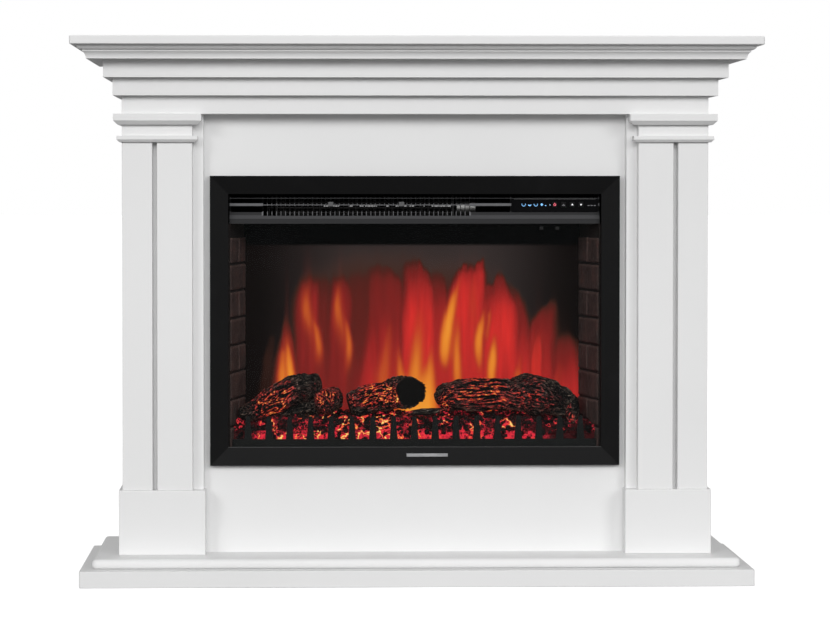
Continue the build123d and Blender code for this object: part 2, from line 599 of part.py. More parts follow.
VANES = 20
VANE_RING = 17.2
with BuildPart() as blower_wheel:
    rod((CHEEKS[0] - 3, CHEEKS[1] + 18), WHEEL_Y, WHEEL_Z, SHAFT_RADIUS)
    discs = 4
    step = (WHEEL_SPAN[1] - WHEEL_SPAN[0] - 1.5) / discs
    for i in range(discs + 1):
        left = WHEEL_SPAN[0] + i * step
        rod((left, left + 1.5), WHEEL_Y, WHEEL_Z, WHEEL_RADIUS)
    with Locations(Location((sum(WHEEL_SPAN) / 2, WHEEL_Y, WHEEL_Z), (0, 90, 0))):
        with PolarLocations(VANE_RING, VANES):
            Box(4.4, 0.8, WHEEL_SPAN[1] - WHEEL_SPAN[0], rotation=(0, 0, 25))
save(blower_wheel, "blower_wheel")

with BuildPart() as blower_motor:
    rod((CHEEKS[1] + SHEET, CHEEKS[1] + 34), WHEEL_Y, WHEEL_Z, 18)
    fillet(blower_motor.edges(), 1.5)
    rod((CHEEKS[1] + SHEET, CHEEKS[1] + 19), WHEEL_Y, WHEEL_Z, BEARING_RADIUS, Mode.SUBTRACT)
save(blower_motor, "blower_motor")

ELEMENT_Y = (-22.0, -6.0)
with BuildPart() as heating_element:
    for left in (WHEEL_SPAN[0], WHEEL_SPAN[1] - 3):
        block((left, left + 3), ELEMENT_Y, (DECK, 634))
    for i in range(5):
        rod(WHEEL_SPAN, sum(ELEMENT_Y) / 2, 596 + 8 * i, 1.6)
    with Locations((sum(WHEEL_SPAN) / 2, sum(ELEMENT_Y) / 2, WHEEL_Z)):
        with GridLocations(10, 0, 28, 1):
            Box(0.8, ELEMENT_Y[1] - ELEMENT_Y[0] - 4, 38)
save(heating_element, "heating_element")

# ==== Outlet grille ==============================================================================
GRILLE_X = (-306.0, 306.0)
GRILLE_BACK = HOUSING[0]
GRILLE_LIP_Y = GRILLE_BACK - 7
GRILLE_MID_Y = GRILLE_BACK - 3
FIN_START, FIN_END, FINS = -251.0, 91.0, 47
FIN_PITCH = (FIN_END - FIN_START) / (FINS - 1)
FIN_SHEET = 1.0
LIP_TOP = 599.0
PLATE_TOP = 605.0
PANEL_X = (160.0, 304.0)
BLADE_Z = 628.0
BAR_Z = (614.5, 620.0)
GRILLE_TOP = OPENING_TOP
NIB_Z = (615.6, 618.4)
LIT_TOP = 606.0
with BuildPart() as grille_fin:
    with BuildSketch(Plane.YZ.offset(-FIN_SHEET / 2)):
        Polygon(
            (GRILLE_BACK, LIP_TOP), (GRILLE_MID_Y, LIP_TOP), (GRILLE_MID_Y, LIT_TOP),
            (GRILLE_BACK - 2, LIT_TOP + 1), (GRILLE_BACK - 2, NIB_Z[0] - 1), (GRILLE_MID_Y, NIB_Z[0]),
            (GRILLE_MID_Y, NIB_Z[1]), (GRILLE_BACK - 2, NIB_Z[1] + 1), (GRILLE_BACK - 2, GRILLE_TOP),
            (GRILLE_BACK, GRILLE_TOP), align=None,
        )
    extrude(amount=FIN_SHEET)

with BuildPart() as outlet_grille:
    with BuildSketch(Plane.YZ.offset(GRILLE_X[0])):
        Polygon(
            (GRILLE_LIP_Y, HEATER_BOTTOM), (GRILLE_LIP_Y, LIP_TOP - 5), (GRILLE_MID_Y, LIP_TOP),
            (GRILLE_BACK, LIP_TOP), (GRILLE_BACK, HEATER_BOTTOM), align=None,
        )
    extrude(amount=GRILLE_X[1] - GRILLE_X[0])
    for stile in ((GRILLE_X[0], GRILLE_X[0] + 2), (PANEL_X[0] - 2, PANEL_X[0]), (GRILLE_X[1] - 2, GRILLE_X[1])):
        block(stile, (GRILLE_MID_Y, GRILLE_BACK), (LIP_TOP, GRILLE_TOP))
    block(GRILLE_X, (GRILLE_MID_Y, GRILLE_BACK), (BLADE_Z - 0.6, BLADE_Z + 0.6))
    for end in ((GRILLE_X[0], FIN_START), (FIN_END, PANEL_X[0])):
        block(end, (GRILLE_MID_Y, GRILLE_BACK), BAR_Z)
    for end in ((GRILLE_X[0], FIN_START), (FIN_END, GRILLE_X[1])):
        block(end, (GRILLE_MID_Y, GRILLE_BACK), (LIP_TOP, PLATE_TOP))
    block((FIN_START, FIN_END), (GRILLE_BACK - 1.6, GRILLE_BACK), (616.4, 617.6))
    with Locations(((FIN_START + FIN_END) / 2, 0, 0)):
        with GridLocations(FIN_PITCH, 0, FINS, 1):
            add(grille_fin.part)
save(outlet_grille, "outlet_grille")

# ==== Control panel ==============================================================================
PANEL = (GRILLE_MID_Y - 1.5, GRILLE_MID_Y + 1.0)
PANEL_Z = (PLATE_TOP + 0.5, BLADE_Z - 0.6)
BUTTONS = {"power_button": 232.0, "flame_button": 246.5, "heat_button": 261.0, "timer_button": 275.5}
BUTTON_Z = 617.5
BUTTON_SIZE = 8.6
BUTTON_CLEARANCE = 0.4
BOARD_Y = (-30.0, -28.4)
with BuildPart() as control_panel:
    block(PANEL_X, PANEL, PANEL_Z)
    hole = BUTTON_SIZE / 2 + BUTTON_CLEARANCE
    for x in BUTTONS.values():
        block((x - hole, x + hole), PANEL, (BUTTON_Z - hole, BUTTON_Z + hole), Mode.SUBTRACT)
    for x in (PANEL_X[0] + 6, PANEL_X[1] - 6):
        dowel(x, (PANEL[1], BOARD_Y[0]), BUTTON_Z, 2.5)
save(control_panel, "control_panel")

SWITCH_FRONT = BOARD_Y[0] - 2.0
with BuildPart() as control_board:
    block((PANEL_X[0] + 2, PANEL_X[1] - 2), BOARD_Y, (606, 627))
    for x in BUTTONS.values():
        block((x - 3, x + 3), (SWITCH_FRONT, BOARD_Y[0]), (BUTTON_Z - 3, BUTTON_Z + 3))
    block((176, 214), (BOARD_Y[0] - 6, BOARD_Y[0]), (611, 624))
save(control_board, "control_board")

BUTTON_TRAVEL = 0.8
for name, x in BUTTONS.items():
    with BuildPart() as button:
        reach = BUTTON_SIZE / 2
        block((x - reach, x + reach), (PANEL[0] - 0.5, PANEL[1] + 0.5), (BUTTON_Z - reach, BUTTON_Z + reach))
        ease_front(button, 0.5)
        stem_end = SWITCH_FRONT - BUTTON_TRAVEL - 0.4
        dowel(x, (PANEL[1] + 0.5, stem_end), BUTTON_Z, 1.5)
    save(button, name)
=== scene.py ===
import json
from math import cos, exp, pi, radians, sin, tan

import bmesh
import bpy
from mathutils import Matrix, Vector, noise


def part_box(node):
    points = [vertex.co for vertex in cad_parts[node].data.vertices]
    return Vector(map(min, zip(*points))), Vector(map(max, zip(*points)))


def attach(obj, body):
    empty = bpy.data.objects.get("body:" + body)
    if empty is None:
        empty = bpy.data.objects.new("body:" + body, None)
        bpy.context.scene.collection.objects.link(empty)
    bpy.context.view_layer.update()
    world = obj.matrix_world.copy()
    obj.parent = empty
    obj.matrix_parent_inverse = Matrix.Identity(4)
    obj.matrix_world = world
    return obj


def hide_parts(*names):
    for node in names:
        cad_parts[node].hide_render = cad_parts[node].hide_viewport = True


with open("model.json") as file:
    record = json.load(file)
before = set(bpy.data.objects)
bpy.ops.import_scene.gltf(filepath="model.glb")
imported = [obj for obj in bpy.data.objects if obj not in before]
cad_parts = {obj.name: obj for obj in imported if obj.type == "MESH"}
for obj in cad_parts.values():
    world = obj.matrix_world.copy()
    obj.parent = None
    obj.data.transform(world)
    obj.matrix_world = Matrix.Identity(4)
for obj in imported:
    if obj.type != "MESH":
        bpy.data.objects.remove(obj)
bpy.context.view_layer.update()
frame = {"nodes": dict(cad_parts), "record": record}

bl_info = {
    "name": "Electric fireplace looks",
    "version": (1, 0, 0),
    "blender": (4, 5, 0),
    "location": "View3D > Sidebar > Fireplace",
    "description": "Gives a mantel with an electric firebox its finishes, logs, embers and flame picture",
    "category": "Add Mesh",
}

MM = 0.001
MANTEL_BODY = "fireplace"
SCREEN_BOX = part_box("flame_screen")
BED_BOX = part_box("ember_bed")
PANEL_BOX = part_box("control_panel")
TRIM_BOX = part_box("trim_rail_bottom")
GRILLE_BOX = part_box("outlet_grille")
FENDER_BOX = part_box("fender")


# ==== Node sheets ================================================================================
class Value:
    """A number or colour on a node sheet. Arithmetic written on it becomes Math nodes."""

    def __init__(self, sheet, socket):
        self.sheet = sheet
        self.socket = socket

    def math(self, operation, *operands):
        return self.sheet.value("ShaderNodeMath", {"operation": operation}, dict(enumerate(operands)))

    def __add__(self, other):
        return self.math("ADD", self, other)

    def __sub__(self, other):
        return self.math("SUBTRACT", self, other)

    def __rsub__(self, other):
        return self.math("SUBTRACT", other, self)

    def __mul__(self, other):
        return self.math("MULTIPLY", self, other)

    def __truediv__(self, other):
        return self.math("DIVIDE", self, other)

    def __pow__(self, other):
        return self.math("POWER", self, other)

    def __abs__(self):
        return self.math("ABSOLUTE", self)

    def most(self, other):
        return self.math("MAXIMUM", self, other)

    def least(self, other):
        return self.math("MINIMUM", self, other)

    def smooth(self, low, high):
        """Rises smoothly from 0 at low to 1 at high, or falls where low is above high."""
        return self.sheet.value(
            "ShaderNodeMapRange", {"interpolation_type": "SMOOTHSTEP"},
            {"Value": self, "From Min": low, "From Max": high},
        )

    def ramp(self, stops, blend="LINEAR"):
        """The colour at this value along stops of (position, (red, green, blue))."""
        return self.sheet.value("ShaderNodeValToRGB", None, {0: self}, stops=stops, blend=blend)

    __radd__ = __add__
    __rmul__ = __mul__


class Sheet:
    """A node tree that is built by naming each node's type, settings and sockets."""

    def __init__(self, tree):
        self.tree = tree

    def node(self, kind, settings=None, sockets=None, stops=(), blend="LINEAR"):
        made = self.tree.nodes.new(kind)
        for name, setting in (settings or {}).items():
            setattr(made, name, setting)
        if stops:
            ramp = made.color_ramp
            ramp.interpolation = blend
            while len(ramp.elements) < len(stops):
                ramp.elements.new(1.0)
            for element, (position, colour) in zip(ramp.elements, stops):
                element.position = position
                element.color = (*colour, 1.0)
        for key, given in (sockets or {}).items():
            if isinstance(given, Value):
                self.tree.links.new(given.socket, made.inputs[key])
            else:
                made.inputs[key].default_value = given
        return made

    def value(self, kind, settings=None, sockets=None, output=0, **ramp):
        return Value(self, self.node(kind, settings, sockets, **ramp).outputs[output])


class Finish(Sheet):
    """A material whose patterns lie on Object coordinates."""

    def __init__(self, name):
        self.material = bpy.data.materials.new(f"{name}_finish")
        self.material.use_nodes = True
        super().__init__(self.material.node_tree)
        self.tree.nodes.clear()
        self.place = self.value("ShaderNodeTexCoord", output="Object")

    def axis(self, letter):
        return self.value("ShaderNodeSeparateXYZ", None, {0: self.place}, output=letter)

    def stretched(self, scale, source=None):
        """The coordinates multiplied by scale along each axis."""
        return self.value(
            "ShaderNodeVectorMath", {"operation": "MULTIPLY"}, {0: source or self.place, 1: scale}
        )

    def noise(self, scale, detail=3.0, roughness=0.5, vector=None):
        return self.value(
            "ShaderNodeTexNoise", None,
            {"Vector": vector or self.place, "Scale": scale, "Detail": detail, "Roughness": roughness},
        )

    def attribute(self, name):
        return self.value("ShaderNodeAttribute", {"attribute_name": name}, output="Fac")

    def mix(self, factor, low, high, blend="MIX"):
        low, high = ((*c, 1.0) if isinstance(c, tuple) else c for c in (low, high))
        return self.value(
            "ShaderNodeMix", {"data_type": "RGBA", "blend_type": blend}, {0: factor, 6: low, 7: high}, output=2
        )

    def bump(self, height, distance, strength=1.0):
        return self.value("ShaderNodeBump", None, {"Height": height, "Distance": distance, "Strength": strength})

    def done(self, **sockets):
        """Ends the material in one Principled shader with the named sockets."""
        named = {name.replace("_", " "): given for name, given in sockets.items()}
        shader = self.value("ShaderNodeBsdfPrincipled", None, named)
        self.node("ShaderNodeOutputMaterial", None, {"Surface": shader})
        return self.material


def rgb(colour):
    return tuple(colour)[:3]


def rgba(colour):
    return (*tuple(colour)[:3], 1.0)


# ==== Meshes and pieces ==========================================================================
def add_mesh(name, mesh, material, smooth=True):
    """Links a finished mesh as an object at the origin."""
    piece = bpy.data.objects.new(name, mesh)
    mesh.name = name
    mesh.materials.clear()
    mesh.materials.append(material)
    for face in mesh.polygons:
        face.use_smooth = smooth
    bpy.context.scene.collection.objects.link(piece)
    return piece


def mesh_from(points, faces, **attributes):
    """A mesh with any number of named point values."""
    mesh = bpy.data.meshes.new("made")
    mesh.from_pydata(points, [], faces)
    for name, values in attributes.items():
        mesh.attributes.new(name, "FLOAT", "POINT").data.foreach_set("value", values)
    mesh.update()
    return mesh


def applied(piece, name, material):
    """The evaluated shape of a piece with modifiers, as a plain object."""
    evaluated = piece.evaluated_get(bpy.context.evaluated_depsgraph_get())
    mesh = bpy.data.meshes.new_from_object(evaluated)
    bpy.data.objects.remove(piece)
    return add_mesh(name, mesh, material)


def belongs(piece, body=MANTEL_BODY):
    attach(piece, body)


def cover(material, *nodes):
    """Gives CAD nodes a material, in the slots they already have."""
    for node in nodes:
        for slot in frame["nodes"][node].material_slots:
            slot.material = material


def nodes_with(slot):
    return [part["node"] for part in frame["record"]["subparts"] if part["material_slot"] == slot]


def plates(name, outlines, front, thickness, material, body=MANTEL_BODY):
    """Thin raised marks: each outline of (x, z) points stands proud of the plane y = front."""
    sketch = bmesh.new()
    for outline in outlines:
        back = [sketch.verts.new((x, front, z)) for x, z in outline]
        face = sketch.faces.new(back)
        raised = bmesh.ops.extrude_face_region(sketch, geom=[face])["geom"]
        shift = Vector((0, -thickness, 0))
        bmesh.ops.translate(sketch, vec=shift, verts=[v for v in raised if isinstance(v, bmesh.types.BMVert)])
    bmesh.ops.recalc_face_normals(sketch, faces=sketch.faces)
    mesh = bpy.data.meshes.new(name)
    sketch.to_mesh(mesh)
    sketch.free()
    piece = add_mesh(name, mesh, material, smooth=False)
    belongs(piece, body)
    return piece


def arc_band(x, z, radius, width, start, end, steps=12):
    """The outline of a bent bar, with angles in degrees from +X."""
    turns = [radians(start + (end - start) * i / steps) for i in range(steps + 1)]
    outer = [(x + radius * cos(a), z + radius * sin(a)) for a in turns]
    inner = [(x + (radius - width) * cos(a), z + (radius - width) * sin(a)) for a in reversed(turns)]
    return outer + inner


def bar(x, z, half_wide, half_tall):
    return [
        (x - half_wide, z - half_tall), (x + half_wide, z - half_tall),
        (x + half_wide, z + half_tall), (x - half_wide, z + half_tall),
    ]


def polygon_mark(x, z, size, corners, turn=90.0):
    return [
        (x + size * cos(radians(turn + 360 * i / corners)), z + size * sin(radians(turn + 360 * i / corners)))
        for i in range(corners)
    ]


# ==== Settings ===================================================================================
def length(name, description, default):
    return bpy.props.FloatProperty(name=name, description=description, default=default, unit="LENGTH", precision=5)


def share(name, description, default):
    return bpy.props.FloatProperty(name=name, description=description, default=default, min=0.0, subtype="FACTOR")


def tint(name, description, default):
    return bpy.props.FloatVectorProperty(
        name=name, description=description, default=default, subtype="COLOR", size=3, min=0.0, max=1.0
    )


class StageSettings(bpy.types.PropertyGroup):
    eye: bpy.props.FloatVectorProperty(
        name="Eye", description="Where the camera stands", default=(-0.1898, -4.340, 0.6418), subtype="TRANSLATION"
    )
    aim: bpy.props.FloatVectorProperty(
        name="Aim", description="Direction that the camera looks in", default=(0.0221, 1.0, -0.0231), subtype="XYZ"
    )
    lens: bpy.props.FloatProperty(name="Lens", description="Focal length in mm", default=112.82)
    shift: bpy.props.FloatVectorProperty(
        name="Shift", description="How far the picture is moved on the film", default=(0.0693, -0.0723), size=2
    )
    key: bpy.props.FloatProperty(name="Key lights", description="Strength of the two side lights", default=0.75)
    front: bpy.props.FloatProperty(name="Front light", description="Strength of the light in front", default=0.99)
    top: bpy.props.FloatProperty(name="Top light", description="Strength of the light from above", default=0.03)
    room: share("Room light", "Even light from all sides", 0.40)


class CabinetSettings(bpy.types.PropertyGroup):
    paint: tint("Paint", "Colour of the painted boards", (0.79, 0.79, 0.79))
    roller: length("Roller texture", "Height of the paint's fine stipple", 0.00004)


class FireboxSettings(bpy.types.PropertyGroup):
    enamel: tint("Enamel", "Black satin coat of the trim", (0.0050, 0.0050, 0.0052))
    sheet: tint("Sheet steel", "Matt black coat inside", (0.003, 0.003, 0.003))
    fender: tint("Fender", "Black coat of the fender", (0.0050, 0.0056, 0.0054))
    grille: tint("Grille", "Dark grey coat of the air outlet", (0.040, 0.040, 0.042))


class BrickSettings(bpy.types.PropertyGroup):
    course: length("Course", "Height of one brick with its joint", 0.045)
    joint: length("Joint", "Width of the mortar joints", 0.0045)
    proud: length("Proud", "How far the bricks stand out of the mortar", 0.0028)
    brick: tint("Brick", "Fired clay under soot", (0.060, 0.038, 0.034))
    mortar: tint("Mortar", "Sooty mortar", (0.012, 0.008, 0.007))
    seed: bpy.props.IntProperty(name="Seed", description="Changes the bricks' chips", default=4)


class FlameSettings(bpy.types.PropertyGroup):
    glow: bpy.props.FloatProperty(name="Glow", description="Brightness of the flame picture", default=1.0)
    smoke: tint("Smoke", "The screen's own smoky grey", (0.0310, 0.0235, 0.0225))
    hood: length("Hood", "Height above the floor where the dark band starts", 0.5485)
    feather: share("Feather", "How much the flames' tips break up", 0.06)
    sway: length("Sway", "How far the flames waver sideways", 0.008)


class LogSettings(bpy.types.PropertyGroup):
    ridge: length("Ridge", "Height of the bark's ridges", 0.0038)
    lump: length("Lump", "Height of the log's larger lumps", 0.0045)
    grain: length("Grain", "Distance between ridges", 0.0040)
    char: tint("Char", "Burnt wood", (0.0022, 0.0018, 0.0016))
    bark: tint("Bark", "Bark on the ridges", (0.060, 0.046, 0.036))
    glow: bpy.props.FloatProperty(name="Glow", description="Brightness of the glowing ridges", default=1.0)


class EmberSettings(bpy.types.PropertyGroup):
    lump: length("Lump", "Height of the lumps in the ember bed", 0.007)
    cell: length("Cell", "Width of one lump", 0.013)
    coal: length("Coal", "Radius of a loose coal", 0.0062)
    density: bpy.props.FloatProperty(name="Density", description="Coals on each square metre", default=7000.0)
    glow: bpy.props.FloatProperty(name="Glow", description="Brightness of the embers", default=1.0)
    seed: bpy.props.IntProperty(name="Seed", description="Changes where the coals lie", default=11)


class PanelSettings(bpy.types.PropertyGroup):
    blue: tint("Blue lamp", "Light of the lit symbols", (0.22, 0.55, 1.0))
    red: tint("Red lamp", "Light of the standby lamp", (1.0, 0.16, 0.22))
    white: tint("White lamp", "Light of the button marks", (0.72, 0.72, 0.74))
    grey: tint("Print", "Unlit printed marks", (0.16, 0.16, 0.17))
    relief: length("Relief", "Thickness of a mark", 0.00015)


# ==== Stage ======================================================================================
class FIREPLACE_OT_stage(bpy.types.Operator):
    """Adds the pale floor, the soft lights and the camera"""
    bl_idname = "fireplace.stage"
    bl_label = "Stage"

    def execute(self, context):
        settings = context.scene.fireplace_stage
        self.add_floor()
        self.light_room(context, settings)
        for name, strength, side in (
            ("left_light", settings.key, -36), ("front_light", settings.front, 0), ("right_light", settings.key, 36)
        ):
            self.add_sun(name, strength, radians(side), radians(21), radians(24))
        self.add_sun("top_light", settings.top, 0.0, radians(74), radians(40))
        self.add_camera(context, settings)
        context.scene.view_settings.view_transform = "Standard"
        return {"FINISHED"}

    def add_floor(self):
        reach = 60.0
        corners = [(-reach, -reach, 0), (reach, -reach, 0), (reach, reach, 0), (-reach, reach, 0)]
        finish = Finish("stage_floor")
        seen = finish.value("ShaderNodeLightPath", output="Is Camera Ray")
        grain = finish.noise(3.0) * 0.02
        colour = finish.mix(seen, (0.27, 0.27, 0.27), (0.90, 0.90, 0.90))
        floor = add_mesh(
            "stage_floor", mesh_from(corners, [(0, 1, 2, 3)]),
            finish.done(
                Base_Color=colour, Roughness=0.85 + grain, Specular_IOR_Level=0.0,
                Emission_Color=(1.0, 1.0, 1.0, 1.0), Emission_Strength=seen * 0.62,
            ),
        )
        floor.location.z = -0.0004

    def light_room(self, context, settings):
        world = bpy.data.worlds.new("soft_room")
        context.scene.world = world
        world.use_nodes = True
        sheet = Sheet(world.node_tree)
        sheet.tree.nodes.clear()
        seen = sheet.value("ShaderNodeLightPath", output="Is Camera Ray")
        level = settings.room + seen * (1.0 - settings.room)
        shader = sheet.value("ShaderNodeBackground", None, {"Color": (1, 1, 1, 1), "Strength": level})
        sheet.node("ShaderNodeOutputWorld", None, {"Surface": shader})

    def add_sun(self, name, strength, side, height, spread):
        sun = bpy.data.lights.new(name, "SUN")
        sun.energy = strength
        sun.angle = spread
        lamp = bpy.data.objects.new(name, sun)
        towards = Vector((sin(side) * cos(height), -cos(side) * cos(height), sin(height)))
        lamp.rotation_euler = towards.to_track_quat("Z", "Y").to_euler()
        lamp.location = towards * 3
        bpy.context.scene.collection.objects.link(lamp)

    def add_camera(self, context, settings):
        camera = bpy.data.cameras.new("camera")
        camera.sensor_width = 36.0
        camera.lens = settings.lens
        camera.shift_x, camera.shift_y = settings.shift
        camera.clip_start, camera.clip_end = 0.05, 200.0
        stand = bpy.data.objects.new("camera", camera)
        stand.location = settings.eye
        stand.rotation_euler = Vector(settings.aim).to_track_quat("-Z", "Y").to_euler()
        context.scene.collection.objects.link(stand)
        context.scene.camera = stand


# ==== Cabinet ====================================================================================
def painted_board(settings):
    """White semi-matt paint: a fine roller stipple, slightly uneven gloss and faint tone changes."""
    finish = Finish("painted_board")
    broad = finish.noise(2.5, 2.0)
    stipple = finish.noise(1400.0, 2.0)
    paint = rgb(settings.paint)
    shade = tuple(c * 0.965 for c in paint)
    return finish.done(
        Base_Color=finish.mix(broad.smooth(0.3, 0.7), shade, paint),
        Roughness=0.42 + finish.noise(45.0, 4.0) * 0.14,
        Normal=finish.bump(stipple, settings.roller),
        Specular_IOR_Level=0.28,
    )


def metal(name, colour, roughness, metallic=1.0, grain=(40.0, 900.0, 900.0), swing=0.18, relief=0.00003):
    """A metal with fine drawn lines, longest along the axis with the smallest grain."""
    finish = Finish(name)
    lines = finish.noise(1.0, 3.0, 0.6, finish.stretched(grain))
    worn = finish.noise(22.0, 4.0)
    dark = tuple(c * 0.7 for c in colour)
    return finish.done(
        Base_Color=finish.mix(worn.smooth(0.3, 0.75), dark, tuple(colour)),
        Metallic=metallic,
        Roughness=roughness + (lines - 0.5) * swing,
        Normal=finish.bump(lines, relief),
    )


def coated(name, colour, roughness, stipple=900.0, relief=0.00003, lift=1.35, shine=0.2):
    """Powder coat or enamel over steel: an orange-peel skin, a little paler where it is rubbed."""
    finish = Finish(name)
    skin = finish.noise(stipple, 2.0, 0.4)
    rubbed = finish.noise(16.0, 5.0, 0.65).smooth(0.5, 0.8)
    pale = tuple(min(1.0, c * lift) for c in colour)
    return finish.done(
        Base_Color=finish.mix(rubbed, tuple(colour), pale),
        Roughness=roughness + rubbed * 0.08 + skin * 0.05,
        Normal=finish.bump(skin, relief),
        Specular_IOR_Level=shine,
    )


def trim_enamel_and_highlight(colour):
    """Black satin enamel of the trim, with a painted highlight along the opening's lower edge, where that edge catches
    light.
    """
    finish = Finish("trim_black")
    skin = finish.noise(900.0, 2.0, 0.4)
    rubbed = finish.noise(16.0, 5.0, 0.65).smooth(0.5, 0.8)
    # A painted highlight: a pale line along the top of the lower rail, inside the opening.
    painted_highlight_line = finish.axis("Z").smooth(TRIM_BOX[1][2] - 0.0006, TRIM_BOX[1][2] - 0.0002)
    painted_highlight_line = painted_highlight_line * finish.axis("Z").smooth(TRIM_BOX[1][2] + 0.0006, TRIM_BOX[1][2] + 0.0002)
    painted_highlight_line = painted_highlight_line * abs(finish.axis("X")).smooth(0.3090, 0.3080)
    coat = finish.mix(rubbed, colour, tuple(c * 1.35 for c in colour))
    return finish.done(
        Base_Color=finish.mix(painted_highlight_line, coat, (0.075, 0.075, 0.075)),
        Roughness=0.40 + rubbed * 0.08 + skin * 0.05,
        Normal=finish.bump(skin, 0.00003),
        Specular_IOR_Level=0.08,
    )


FINS_MIDDLE = -0.080
FINS_HALF = 0.1725


def outlet_enamel_in_painted_light(colour):
    """Dark enamel of the air outlet, with painted light: painted shade over most of it and painted highlights on its
    lip, its blade edges and the feet of its fins.
    """
    finish = Finish("grille_black")
    z = finish.axis("Z") - GRILLE_BOX[0][2]
    lip = z.smooth(0.0150, 0.0128)
    feet = z.smooth(0.0132, 0.0140) * z.smooth(0.0212, 0.0196)
    finned = abs(finish.axis("X") - FINS_MIDDLE).smooth(FINS_HALF + 0.001, FINS_HALF)
    feet = feet * (0.20 + finned * 0.80)
    blades = (abs(z - 0.0315).smooth(0.0026, 0.0016) + abs(z - 0.0425).smooth(0.0020, 0.0012) * 0.35).least(1.0)
    worn = finish.noise(60.0, 4.0, 0.65)
    # pale is painted highlight on the lip, the fins' feet and the blade edges; dark is painted shade and bright the
    # highlight colour.
    pale = (lip * 0.20 + z.smooth(0.0078, 0.0086) * lip * 0.22 + feet + blades * (0.70 + worn * 0.4)).least(1.0)
    dark = tuple(c * 0.04 for c in colour)
    bright = tuple(min(1.0, c * 3.6) for c in colour)
    return finish.done(
        Base_Color=finish.mix(pale, dark, bright),
        Roughness=0.80 - pale * 0.40 + worn * 0.12,
        Normal=finish.bump(worn, 0.00004),
        Specular_IOR_Level=0.15,
    )


def circuit_board():
    """Green solder mask with pale tracks and pads."""
    finish = Finish("circuit_board")
    tracks = finish.value(
        "ShaderNodeTexBrick", {"offset": 0.37},
        {"Vector": finish.place, "Color1": rgba((0.02, 0.13, 0.05)), "Color2": rgba((0.018, 0.11, 0.04)),
         "Mortar": rgba((0.12, 0.30, 0.12)), "Scale": 60.0, "Mortar Size": 0.012},
    )
    return finish.done(Base_Color=tracks, Roughness=0.3 + finish.noise(80.0) * 0.1)


class FIREPLACE_OT_cabinet(bpy.types.Operator):
    """Paints the mantel, its mouldings and the hearth"""
    bl_idname = "fireplace.cabinet"
    bl_label = "Painted cabinet"

    def execute(self, context):
        cover(painted_board(context.scene.fireplace_cabinet), *nodes_with("painted_board"))
        return {"FINISHED"}


class FIREPLACE_OT_metalwork(bpy.types.Operator):
    """Finishes the steel, aluminium, plastic and circuit boards of the firebox"""
    bl_idname = "fireplace.metalwork"
    bl_label = "Metalwork"

    def execute(self, context):
        settings = context.scene.fireplace_firebox
        finishes = {
            "trim_black": trim_enamel_and_highlight(rgb(settings.enamel)),
            "black_sheet_steel": coated("black_sheet_steel", rgb(settings.sheet), 0.55),
            "grille_black": outlet_enamel_in_painted_light(rgb(settings.grille)),
            "zinc_steel": metal("zinc_steel", (0.62, 0.61, 0.58), 0.34),
            "motor_steel": metal("motor_steel", (0.45, 0.45, 0.44), 0.38),
            # The blower and heater metals are near black so that the inside of the outlet reads dark: painted shade.
            "blower_metal": metal("blower_metal", (0.030, 0.030, 0.030), 0.60, 0.6),
            "heater_metal": metal("heater_metal", (0.010, 0.009, 0.009), 0.65, 0.4),
            "mirror_film": metal("mirror_film", (0.85, 0.85, 0.86), 0.12, swing=0.06, relief=0.00008),
            "circuit_board": circuit_board(),
            "panel_gloss_black": coated("panel_gloss_black", (0.002, 0.002, 0.0025), 0.16, relief=0.00001, shine=0.08),
            "button_black": coated("button_black", (0.004, 0.004, 0.0045), 0.28, relief=0.00001, shine=0.12),
            "gland_plastic": coated("gland_plastic", (0.015, 0.015, 0.015), 0.5, 500.0, 0.00005),
        }
        for slot, material in finishes.items():
            cover(material, *nodes_with(slot))
        cover(coated("fender_black", rgb(settings.fender), 0.50, shine=0.10), "fender")
        return {"FINISHED"}


class FIREPLACE_OT_glass(bpy.types.Operator):
    """Makes the front glass clear, with a trace of dust"""
    bl_idname = "fireplace.glass"
    bl_label = "Front glass"

    def execute(self, context):
        finish = Finish("clear_glass")
        dust = finish.noise(9.0, 5.0, 0.7).smooth(0.45, 0.9)
        glass = finish.done(
            Base_Color=(0.05, 0.055, 0.055, 1.0), Roughness=0.03 + dust * 0.05, Alpha=0.03 + dust * 0.02, IOR=1.5
        )
        cover(glass, "front_glass")
        return {"FINISHED"}


# ==== Bricks =====================================================================================
BRICK_SLAB = 0.008


